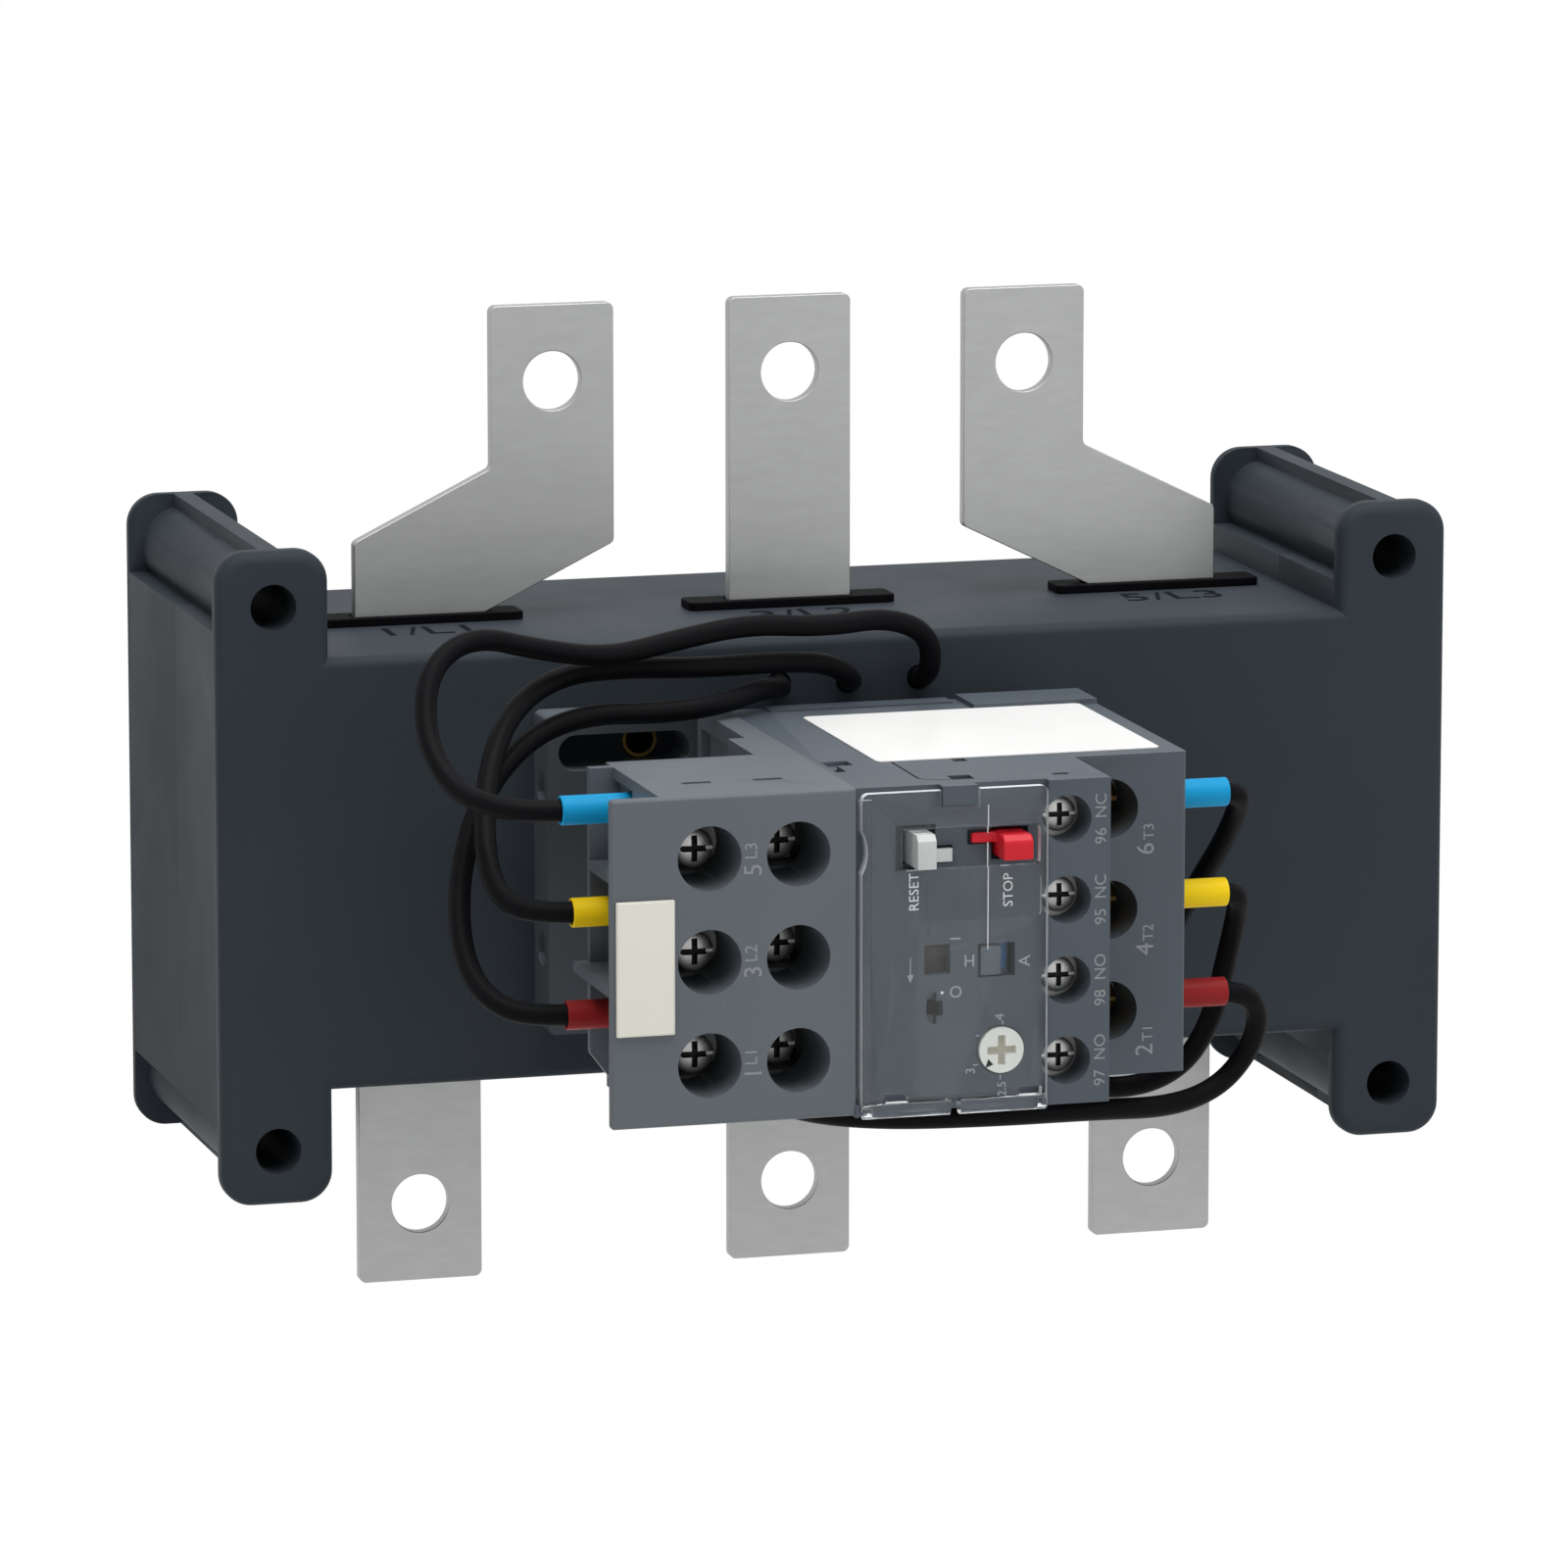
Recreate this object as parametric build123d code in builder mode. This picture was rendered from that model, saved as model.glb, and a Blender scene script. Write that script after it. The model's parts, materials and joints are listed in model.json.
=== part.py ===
"""Thermal overload relay with its current transformer block, wired and ready for a panel.

Frame: X to the right, Z up, Y backwards into the panel. The origin is the centre of the
transformer block's back face. All sizes are in millimetres.
"""
import os
from math import pi, radians, tan

from build123d import *

os.makedirs("parts", exist_ok=True)

# Transformer block
block_width = 180.0
block_depth = 60.0
body_top = 30.9
body_bottom = -30.3
body_wall = 3.0
ear_width = 16.0
ear_height = 92.4
ear_plate = 3.2
ear_corner = 4.5
ear_core_height = 70.0
boss_radius = 6.0
rib_width = 2.8
hole_margin = 7.8
mount_hole_radius = 3.25
edge_round = 1.8

# Busbars
bar_width = 18.0
bar_thickness = 2.0
bar_set_back = 27.0
crank_run = 20.0
bar_top = 75.5
bar_bottom = -64.6
bar_hole_radius = 4.25
upper_hole_z = 64.6
lower_hole_z = -53.4
crank_rise = 0.5
crank_slope = 0.49
bar_corner = 1.0
bar_gap = 0.3

# Collars round the bars
collar_length = 30.6
collar_depth = 5.8
collar_thickness = 1.2

# Current transformers inside the block
core_inner = 11.0
core_outer = 14.4
core_stack = 24.0
cradle_width = 8.0
coil_cover = 1.3
coil_arc = 290.0
core_gap = 0.3

# Screws of the block
case_screw_inset = 6.0
case_screw_drop = 6.6
case_screw_radius = 1.75
case_head_radius = 3.2
case_head_height = 2.2
case_boss_radius = 4.0
thread_gap = 0.05

# Threaded inserts in the block's front
insert_x = (-29.7, 22.0)
insert_z = 17.4
insert_right_z = 15.4
insert_radius = 2.5
insert_bore = 2.0
insert_length = 7.0

# Adapter
half_height = 22.4
plate_left = -45.0
plate_right = 28.0
plate_thickness = 8.0
slot_width = 5.0
slot_length = 19.0
slot_x = -34.0
dimple_radius = 2.4
dimple_z = (12.1, -10.7)
plate_corner = 1.0
plate_drop = 2.2
adapter_top = 22.8
adapter_low = -21.8
fixing_radius = 1.9
fixing_head_radius = 3.6
column_rib = 1.5
column_left = -25.9
neck_left = -23.5
neck_length = 24.0
block_left = -53.6
post_left = -46.7
relay_reach = 73.0
terminal_depth = 28.0
flange_thickness = 1.6
fin_left = -50.0
fin_thickness = 1.4
fin_set_in = 2.5
fin_slope_rise = 5.5
marker_left = -52.95
marker_width = 8.0
marker_height = 18.2
marker_thickness = 0.8
partition_left = -52.0
shelf_drop = 4.8
pocket_half = 2.8
pocket_depth = 1.0
pocket_front = 3.6
seam_x = -19.8
slit_x = (-39.1, -29.2)
slit_length = 4.0
slit_width = 1.2
slit_depth = 9.2

# Poles
pole_pitch = 14.0
pole_shift = 0.3
line_well_x = -40.0
relay_well_x = -27.7
line_well_radius = 4.4
line_head_depth = 7.5
relay_head_depth = 10.5
well_floor = 12.5
entry_rise = 4.1
cavity_low = 3.9
cavity_high = 6.3
cavity_reach = 4.6
strip_thickness = 1.2
plate_metal = 1.0
pin_thickness = 1.0
pin_half = 2.2

# Relay
relay_right = 32.0
relay_low = -22.0
power_step = 16.4
module_right = 16.0
module_step = 0.5
cover_right = 7.3
cover_recess = 1.8
chamber_half = 6.0
chamber_wall = 4.0
chamber_left = -17.4
chamber_right = 13.0
power_well_x = 21.0
power_well_radius = 4.1
power_rise = 0.7
aux_well_x = 10.0
aux_well_radius = 3.3
aux_pitch = 11.0
aux_shift = 0.5
aux_head_depth = 3.8
aux_entry = 5.2
aux_half = 4.2
aux_head_height = 1.8
aux_shank_radius = 1.25
strip_thin = 1.0
contact_half = 1.8
contact_left = 1.0
power_half = 5.2
power_clamp_left = 3.9
power_clamp_right = 5.0
aux_clamp_left = 3.0
aux_clamp_right = 3.8
ledge_height = 0.7
ledge_length = 9.0
ledge_overlap = 2.0
label_left = -11.0
label_right = 29.3
label_thickness = 0.2

# Screws of the terminals
line_head_radius = 2.75
power_head_radius = 3.6
aux_head_radius = 2.4
head_height = 2.6
line_shank_radius = 1.75
power_shank_radius = 2.0
cross_width = 0.8

# Leads and ferrules
lead_radius = 1.5
sleeve_radius = 2.0
ferrule_radius = 0.9
bend_share = 0.45
left_sleeve_ends = (-55.8, -54.3, -55.1)
right_sleeve_end = 41.7
sleeve_hold = 3.0

# Buttons and cover
floor_clear = 0.2
button_proud = 2.5
reset_x = -10.6
reset_width = 2.6
reset_height = 4.6
stop_x = 2.2
stop_width = 4.2
stop_height = 3.4
button_z = 14.0
button_travel = 2.0
button_gap = 0.3
button_shank = 4.5
floor_thickness = 1.6
reset_recess = (-13.8, -8.2)
recess_half = 3.1
tab_slot = (-8.2, -5.8)
tab_slot_half = 1.2
tab_slot_z = 12.9
stop_recess_gap = 0.5
arm_length = 3.5
arm_low = 0.3
arm_high = 1.7
face_thickness = 1.8
module_cavity = (-17.6, 5.6)
tab_left = -7.7
tab_right = -2.8
tab_height = 2.7
window_left = -9.8
window_right = -6.1
window_low = -3.4
window_high = 0.6
selector_left = -1.9
selector_right = 0.9
selector_low = -3.8
selector_high = 0.1
selector_travel = 1.8
insert_left = 1.15
insert_right = 2.5
test_x = -8.0
test_z = -8.0
test_width = 2.8
test_height = 4.3
test_pin = 1.4
test_length = 5.0
spring_pitch = 1.4
spring_wire = 0.22
cover_thickness = 1.2
hinge_radius = 1.1
hinge_pin_radius = 0.6
hinge_z = -21.4
cover_proud = 0.3
cover_left = -19.0
barrel_left = -18.6
cheek = 0.4
window_cut = (-13.4, 5.9)
hook_x = (-14.1, 4.6)
hook_width = 3.2
notch_x = -5.8
side_lip = 1.6
scoop_radius = 6.0
scoop_depth = 0.8
pad_x = (-10.0, 6.0)
pad_z = (4.15, 10.0)
pad_depth = 0.25
running_gap = 0.06
dial_x = 1.0
dial_z = -14.2
dial_radius = 3.15
dial_seat = 1.1
dial_shaft_radius = 1.5
cam_radius = 2.6
cam_offset = 0.7
dial_slot_width = 1.0
dial_slot_length = 4.0
clearance = 0.3

# Trip mechanism
bimetal_thickness = 0.9
bimetal_width = 8.0
bimetal_mount = 2.7
bimetal_tip = -14.0
slide_travel = 1.2
finger_gap = 0.35
finger_thickness = 1.2
slide_width = 3.0
lever_z = 17.4
lever_thickness = 0.8
lever_front_arm = 8.0
lever_pin_radius = 0.6
lever_rib_x = -13.2
lever_width = 3.0
carrier_travel = 1.1
carrier_wall = 2.1
carrier_width = 2.2
bridge_thickness = 1.1
heater_start = -11.5
heater_turns = 6
heater_pitch = 3.0
heater_gap = 0.7
heater_wire = 0.6

# Depths behind the front of the relay
pin_depth = 18.4
left_lead_depth = 18.0
right_lead_depth = 28.0
aux_entry_depth = 10.4
power_cavity_depth = 35.0
label_depths = (19.6, 56.0)
spring_seat_depth = 13.4
bimetal_depth = 37.0
push_slide_depth = 34.5
pull_slide_depth = 39.5
lever_pivot_depth = 14.5
slide_notch_depths = (30.0, 44.0)
slide_notch_width = 6.0
cam_depth = 6.6

# Marks of the mould on top of the relay
groove_width = 0.35
groove_depth = 0.3
groove_path = ((-9.0, 16.4), (-9.1, 6.6), (-7.5, 5.1), (-4.9, 5.0))
latch_slot = (-4.9, -1.8)
latch_slot_depths = (4.6, 7.5)
tool_slot = (-18.3, -16.9)
tool_step = (-18.3, -14.6)
tool_slot_depths = (14.2, 18.8)
tool_step_depths = (18.8, 22.0)
label_notch = (-0.7, 1.2)
label_notch_length = 2.0
module_slit = (9.2, 11.4)
module_slit_depth = 4.4
back_rib = (-14.0, 12.6)
back_rib_height = 0.3
back_rib_length = 3.6

half_width = block_width / 2
body_height = body_top - body_bottom
body_middle = (body_top + body_bottom) / 2
mount_pitch_x = block_width - ear_width
mount_pitch_z = ear_height - 2 * hole_margin
relay_front_y = -block_depth - relay_reach
ear_centre = half_width - ear_width / 2
body_edge = half_width - ear_width
bar_plane = -block_depth + bar_set_back
crank_start = body_top + crank_rise
core_y = bar_plane + bar_thickness / 2
coil_outer = core_outer + coil_cover
lower_pitch = body_edge - body_wall - coil_outer - core_gap
upper_pitch = lower_pitch - crank_run
case_screw_x = body_edge - case_screw_inset
case_screw_z = body_height / 2 - case_screw_drop
case_front = relay_front_y + power_step
case_back = -block_depth - plate_thickness
chamber_back = case_back - chamber_wall
pin_y = relay_front_y + pin_depth
left_lead_y = relay_front_y + left_lead_depth
right_lead_y = relay_front_y + right_lead_depth
aux_entry_y = relay_front_y + aux_entry_depth
power_cavity_back = relay_front_y + power_cavity_depth
label_front, label_back = [relay_front_y + depth for depth in label_depths]
spring_seat_y = relay_front_y + spring_seat_depth
cover_front = relay_front_y - cover_proud
bimetal_y = relay_front_y + bimetal_depth
push_slide_y = relay_front_y + push_slide_depth
pull_slide_y = relay_front_y + pull_slide_depth
lever_pivot_y = relay_front_y + lever_pivot_depth
slide_notch = [relay_front_y + depth for depth in slide_notch_depths]
cam_back = relay_front_y + cam_depth
aux_front = relay_front_y + module_step
face_y = relay_front_y + cover_recess
floor_y = face_y + button_travel + floor_clear
terminal_back = relay_front_y + terminal_depth
poles = [pole_shift + pole_pitch * (1 - i) for i in range(3)]
aux_z = [aux_shift + aux_pitch * (1.5 - i) for i in range(4)]
screw_corners = [(sx * case_screw_x, sz * case_screw_z) for sx in (-1, 1) for sz in (-1, 1)]
insert_spots = [(x, sign * z) for x, z in zip(insert_x, (insert_z, insert_right_z)) for sign in (1, -1)]
hinge_y = cover_front + hinge_radius
lead_exit_z = 24.3
lead_exit_x = (11.2, 0.8, -9.4)
line_blue, line_yellow, line_red = [pole + entry_rise for pole in poles]
load_blue, load_yellow, load_red = poles

# Routes of the leads, from the block to the ferrules on the left
inner_blue, inner_yellow, inner_red = [end + sleeve_hold for end in left_sleeve_ends]
right_inner = right_sleeve_end - sleeve_hold
lead_routes = {
    "lead_line_blue": [
        (11.2, -57.4, 24.3), (11.2, -64.6, 24.3), (11.0, -66.6, 31.4), (4.2, -68.4, 34.6),
        (-6.0, -70.6, 34.0), (-17.5, -72.6, 35.2), (-28.5, -76.4, 34.2), (-40.0, -81.8, 33.0),
        (-51.0, -86.6, 35.4), (-61.5, -90.6, 38.6), (-68.6, -94.4, 35.0), (-70.6, -99.6, 26.8),
        (-68.6, -106.2, 20.6), (-64.4, -112.2, 18.8), (-59.2, left_lead_y, line_blue),
        (inner_blue, left_lead_y, line_blue)],
    "lead_line_yellow": [
        (0.8, -57.4, 24.3), (0.8, -64.4, 24.3), (-3.4, -67.0, 28.2), (-12.6, -69.6, 29.2),
        (-24.0, -73.0, 29.4), (-36.0, -76.4, 30.6), (-47.0, -81.2, 30.9), (-56.0, -88.6, 27.4),
        (-61.4, -97.0, 19.6), (-63.8, -105.6, 10.4), (-62.8, -111.4, 5.4),
        (-57.6, left_lead_y, line_yellow), (inner_yellow, left_lead_y, line_yellow)],
    "lead_line_red": [
        (-9.4, -57.4, 24.3), (-9.4, -63.8, 24.3), (-14.2, -69.4, 25.6), (-22.6, -77.4, 24.9),
        (-32.4, -80.0, 24.6), (-43.4, -82.0, 25.4), (-53.0, -86.0, 23.0), (-61.4, -93.0, 16.2),
        (-66.4, -100.6, 5.8), (-67.2, -107.4, -3.6), (-64.2, -112.6, -8.4),
        (-58.4, left_lead_y, line_red), (inner_red, left_lead_y, line_red)],
    "lead_load_blue": [
        (right_inner, right_lead_y, load_blue), (43.7, right_lead_y, load_blue), (44.9, -100.8, 11.2),
        (44.6, -95.6, 5.6), (43.0, -89.4, -1.4), (39.8, -84.6, -10.0), (37.4, -81.6, -20.0),
        (30.0, -79.6, -27.4), (20.0, -74.4, -27.0), (12.8, -66.9, -24.7), (11.2, -62.6, -24.3),
        (11.2, -57.4, -24.3)],
    "lead_load_yellow": [
        (right_inner, right_lead_y, load_yellow), (43.7, right_lead_y, load_yellow),
        (44.8, -101.0, -3.6), (44.6, -96.8, -11.2), (43.8, -93.6, -20.0), (40.6, -90.4, -27.4),
        (33.0, -88.8, -30.6), (21.6, -86.0, -29.2), (9.4, -79.0, -26.8), (1.8, -69.6, -24.7),
        (0.8, -63.4, -24.3), (0.8, -57.4, -24.3)],
    "lead_load_red": [
        (right_inner, right_lead_y, load_red), (44.4, right_lead_y, load_red), (47.8, -102.4, -17.6),
        (47.2, -99.8, -23.4), (43.0, -99.0, -28.6), (35.0, -101.6, -30.4), (22.4, -106.4, -29.0),
        (6.0, -110.0, -28.2), (-9.6, -110.4, -27.6), (-19.0, -104.6, -27.2), (-22.4, -93.0, -26.8),
        (-17.4, -80.4, -25.8), (-10.6, -69.8, -24.6), (-9.4, -63.6, -24.3), (-9.4, -57.4, -24.3)],
}


def at_y(y):
    """Sketch plane facing the viewer at depth y, with local axes X and Z."""
    return Plane.XZ.offset(-y)


def slab(y_front, y_back, x_low, x_high, z_low, z_high, mode=Mode.ADD):
    """A block between two depths, added to or cut from the part being built."""
    with Locations(((x_low + x_high) / 2, (y_front + y_back) / 2, (z_low + z_high) / 2)):
        Box(x_high - x_low, y_back - y_front, z_high - z_low, mode=mode)


def drill(x, z, radius, y_front, y_back, mode=Mode.SUBTRACT):
    """A round hole or boss along Y between two depths."""
    with BuildSketch(at_y(y_back)) as outline:
        with Locations((x, z)):
            Circle(radius)
    extrude(outline.sketch, amount=y_back - y_front, mode=mode)


def cross_bore(y, z, radius, x_low, x_high, mode=Mode.SUBTRACT):
    """A round hole or boss along X between two abscissas."""
    with BuildSketch(Plane.YZ.offset(x_low)) as outline:
        with Locations((y, z)):
            Circle(radius)
    extrude(outline.sketch, amount=x_high - x_low, mode=mode)


def housing_shell(face_y, inward):
    """Half of the transformer housing, from its outer face to the plane of the bars."""
    with BuildSketch(at_y(face_y)) as core:
        with Locations((0, body_middle)):
            Rectangle(2 * body_edge, body_height)
        with Locations((-ear_centre, 0), (ear_centre, 0)):
            Rectangle(ear_width, ear_core_height)
            Rectangle(rib_width, ear_height)
        with GridLocations(mount_pitch_x, mount_pitch_z, 2, 2):
            Circle(boss_radius)
    extrude(core.sketch, amount=inward * abs(bar_plane - face_y))
    with BuildSketch(at_y(face_y)) as plates:
        with Locations((-ear_centre, 0), (ear_centre, 0)):
            RectangleRounded(ear_width, ear_height, ear_corner)
        with Locations((0, body_middle)):
            Rectangle(2 * ear_centre, body_height)
    extrude(plates.sketch, amount=inward * ear_plate)


def housing_holes(face_y, inward):
    """Cavity and mounting holes of one half of the transformer housing."""
    inner = face_y - inward * body_wall
    slab(min(inner, bar_plane), max(inner, bar_plane), -body_edge + body_wall, body_edge - body_wall,
         body_bottom + body_wall, body_top - body_wall, Mode.SUBTRACT)
    with BuildSketch(at_y(face_y)) as holes:
        with GridLocations(mount_pitch_x, mount_pitch_z, 2, 2):
            Circle(mount_hole_radius)
    extrude(holes.sketch, amount=inward * block_depth, mode=Mode.SUBTRACT)


def pan_screw(x, z, head_y, head_radius, shank_radius, tip_y):
    """A cross-recessed screw along Y whose head faces the viewer."""
    drill(x, z, head_radius, head_y, head_y + head_height, Mode.ADD)
    drill(x, z, shank_radius, head_y + head_height, tip_y, Mode.ADD)
    reach = head_radius * 0.75
    slab(head_y, head_y + cross_width, x - reach, x + reach, z - cross_width / 2, z + cross_width / 2,
         Mode.SUBTRACT)
    slab(head_y, head_y + cross_width, x - cross_width / 2, x + cross_width / 2, z - reach, z + reach,
         Mode.SUBTRACT)


# Front half of the transformer housing
with BuildPart() as front_housing:
    housing_shell(-block_depth, -1)
    fillet(faces().sort_by(Axis.Y)[0].outer_wire().edges(), edge_round)
    housing_holes(-block_depth, -1)
    for x, z in screw_corners:
        drill(x, z, case_boss_radius, -block_depth + body_wall, bar_plane, Mode.ADD)
        drill(x, z, case_screw_radius + thread_gap, -block_depth + insert_length, bar_plane)
    for x, z in insert_spots:
        drill(x, z, insert_radius + 2, -block_depth + body_wall, -block_depth + insert_length + 1.5,
              Mode.ADD)
        drill(x, z, insert_radius, -block_depth, -block_depth + insert_length)
    for side in (-1, 0, 1):
        slab(-block_depth + body_wall, core_y - coil_outer - clearance,
             side * lower_pitch - cradle_width / 2, side * lower_pitch + cradle_width / 2,
             -core_stack / 2, core_stack / 2)
    for sign in (1, -1):
        for x in lead_exit_x:
            drill(x, sign * lead_exit_z, lead_radius + clearance, -block_depth, -block_depth + body_wall)
front_housing.part.label = "front_housing"
export_step(front_housing.part, "parts/front_housing.step")

# Rear half of the transformer housing, slotted for the bars
with BuildPart() as rear_housing:
    housing_shell(0, 1)
    fillet(faces().sort_by(Axis.Y)[-1].outer_wire().edges(), edge_round)
    housing_holes(0, 1)
    for x, z in screw_corners:
        drill(x, z, case_boss_radius, bar_plane, -body_wall, Mode.ADD)
        drill(x, z, case_screw_radius + clearance, bar_plane, 0)
        drill(x, z, case_head_radius + clearance, -case_head_height - 0.4, 0)
    for side in (-1, 0, 1):
        slab(core_y + coil_outer + clearance, -body_wall, side * lower_pitch - cradle_width / 2,
             side * lower_pitch + cradle_width / 2, -core_stack / 2, core_stack / 2)
        slab(bar_plane, bar_plane + bar_thickness + thread_gap,
             side * lower_pitch - bar_width / 2 - bar_gap, side * lower_pitch + bar_width / 2 + bar_gap,
             body_bottom, body_top, Mode.SUBTRACT)
rear_housing.part.label = "rear_housing"
export_step(rear_housing.part, "parts/rear_housing.step")

# Screws that close the transformer housing from behind
with BuildPart() as housing_screws:
    for x, z in screw_corners:
        drill(x, z, case_head_radius, -case_head_height - 0.2, -0.2, Mode.ADD)
        drill(x, z, case_screw_radius, -block_depth + insert_length + 1, -case_head_height - 0.2, Mode.ADD)
        slab(-1.2, -0.2, x - 2.2, x + 2.2, z - cross_width / 2, z + cross_width / 2, Mode.SUBTRACT)
        slab(-1.2, -0.2, x - cross_width / 2, x + cross_width / 2, z - 2.2, z + 2.2, Mode.SUBTRACT)
housing_screws.part.label = "housing_screws"
export_step(housing_screws.part, "parts/housing_screws.step")

# Brass inserts for the screws of the adapter
with BuildPart() as threaded_inserts:
    for x, z in insert_spots:
        drill(x, z, insert_radius - thread_gap, -block_depth, -block_depth + insert_length - 0.5, Mode.ADD)
        drill(x, z, insert_bore, -block_depth, -block_depth + insert_length)
threaded_inserts.part.label = "threaded_inserts"
export_step(threaded_inserts.part, "parts/threaded_inserts.step")

# Busbars: the outer two are cranked inwards above the block
crank_outer = crank_start + bar_width * ((1 + crank_slope ** 2) ** 0.5 - crank_slope)
for name, side in (("busbar_l1", -1), ("busbar_l2", 0), ("busbar_l3", 1)):
    lower_x = side * lower_pitch
    upper_x = side * upper_pitch
    half = bar_width / 2
    with BuildPart() as busbar:
        with BuildSketch(at_y(bar_plane + bar_thickness)):
            with BuildLine():
                if side:
                    Polyline(
                        (lower_x + side * half, bar_bottom),
                        (lower_x + side * half, crank_outer),
                        (upper_x + side * half, crank_outer + crank_slope * crank_run),
                        (upper_x + side * half, bar_top),
                        (upper_x - side * half, bar_top),
                        (upper_x - side * half, crank_start + crank_slope * crank_run),
                        (lower_x - side * half, crank_start),
                        (lower_x - side * half, bar_bottom),
                        close=True,
                    )
                else:
                    Polyline((-half, bar_bottom), (-half, bar_top), (half, bar_top), (half, bar_bottom),
                             close=True)
            make_face()
            fillet(vertices().group_by(Axis.Z)[0] + vertices().group_by(Axis.Z)[-1], bar_corner)
            with Locations((lower_x, lower_hole_z), (upper_x, upper_hole_z)):
                Circle(bar_hole_radius, mode=Mode.SUBTRACT)
        extrude(amount=bar_thickness)
    busbar.part.label = name
    export_step(busbar.part, f"parts/{name}.step")

# Collars round the bars, above and below the block, longer inside where a bar leans inwards
lean = max(0, collar_thickness - crank_rise) / crank_slope
with BuildPart() as bar_collars:
    for level, relief in ((body_top, lean), (body_bottom - collar_thickness, 0)):
        with BuildSketch(Plane.XY.offset(level)):
            for side in (-1, 0, 1):
                with Locations((side * lower_pitch, core_y)):
                    RectangleRounded(collar_length, collar_depth, 1.0)
                with Locations((side * (lower_pitch - relief / 2), core_y)):
                    Rectangle(bar_width + 2 * bar_gap + abs(side) * relief, bar_thickness + 2 * bar_gap,
                              mode=Mode.SUBTRACT)
        extrude(amount=collar_thickness)
bar_collars.part.label = "bar_collars"
export_step(bar_collars.part, "parts/bar_collars.step")

# Ring cores round the bars inside the block
with BuildPart() as current_cores:
    with BuildSketch(Plane.XY.offset(-core_stack / 2)):
        with Locations(*[(side * lower_pitch, core_y) for side in (-1, 0, 1)]):
            Circle(core_outer - core_gap)
            Circle(core_inner + core_gap, mode=Mode.SUBTRACT)
    extrude(amount=core_stack)
current_cores.part.label = "current_cores"
export_step(current_cores.part, "parts/current_cores.step")

# Secondary windings over the cores, open where their ends come out
with BuildPart() as secondary_windings:
    for side in (-1, 0, 1):
        axle = (side * lower_pitch, core_y, 0)
        with BuildSketch(Plane(origin=axle, x_dir=(1, 0, 0), z_dir=(0, -1, 0))):
            with Locations(((core_inner + core_outer) / 2, 0)):
                Rectangle(core_outer - core_inner + 2 * coil_cover,
                          core_stack + 2 * coil_cover + 2 * core_gap)
                Rectangle(core_outer - core_inner, core_stack + 2 * core_gap, mode=Mode.SUBTRACT)
        revolve(axis=Axis(axle, (0, 0, 1)), revolution_arc=coil_arc)
secondary_windings.part.label = "secondary_windings"
export_step(secondary_windings.part, "parts/secondary_windings.step")

# Adapter: base plate on the block and column that carries the terminal block
with BuildPart() as adapter_base:
    slab(case_back, -block_depth, plate_left, plate_right, -half_height, half_height)
    fillet(edges().filter_by(Axis.Y), plate_corner)
    slab(case_back, -block_depth, seam_x, plate_right, half_height - plate_drop, half_height, Mode.SUBTRACT)
    slab(terminal_back, case_back - neck_length, column_left, seam_x, adapter_low, adapter_top)
    slab(case_back - neck_length, case_back, neck_left, seam_x, adapter_low, adapter_top)
    with BuildSketch(at_y(-block_depth)):
        with Locations((slot_x, insert_z)):
            SlotOverall(slot_length, slot_width)
    extrude(amount=plate_thickness, mode=Mode.SUBTRACT)
    drill(insert_x[0], -insert_z, fixing_radius + clearance, case_back, -block_depth)
    for z in (insert_right_z, -insert_right_z):
        drill(insert_x[1], z, fixing_radius + clearance, case_back, -block_depth)
        drill(insert_x[1], z, fixing_head_radius + clearance, case_back, case_back + head_height + 0.4)
    for z in dimple_z:
        cross_bore((case_back - block_depth) / 2, z, dimple_radius, plate_left, plate_left + 1)
    for pole in poles:
        slab(case_back - neck_length + column_rib, case_back - column_rib, neck_left, neck_left + 1.5,
             pole - pole_pitch / 2 + 1, pole + pole_pitch / 2 - 1, Mode.SUBTRACT)
adapter_base.part.label = "adapter_base"
export_step(adapter_base.part, "parts/adapter_base.step")

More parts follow.
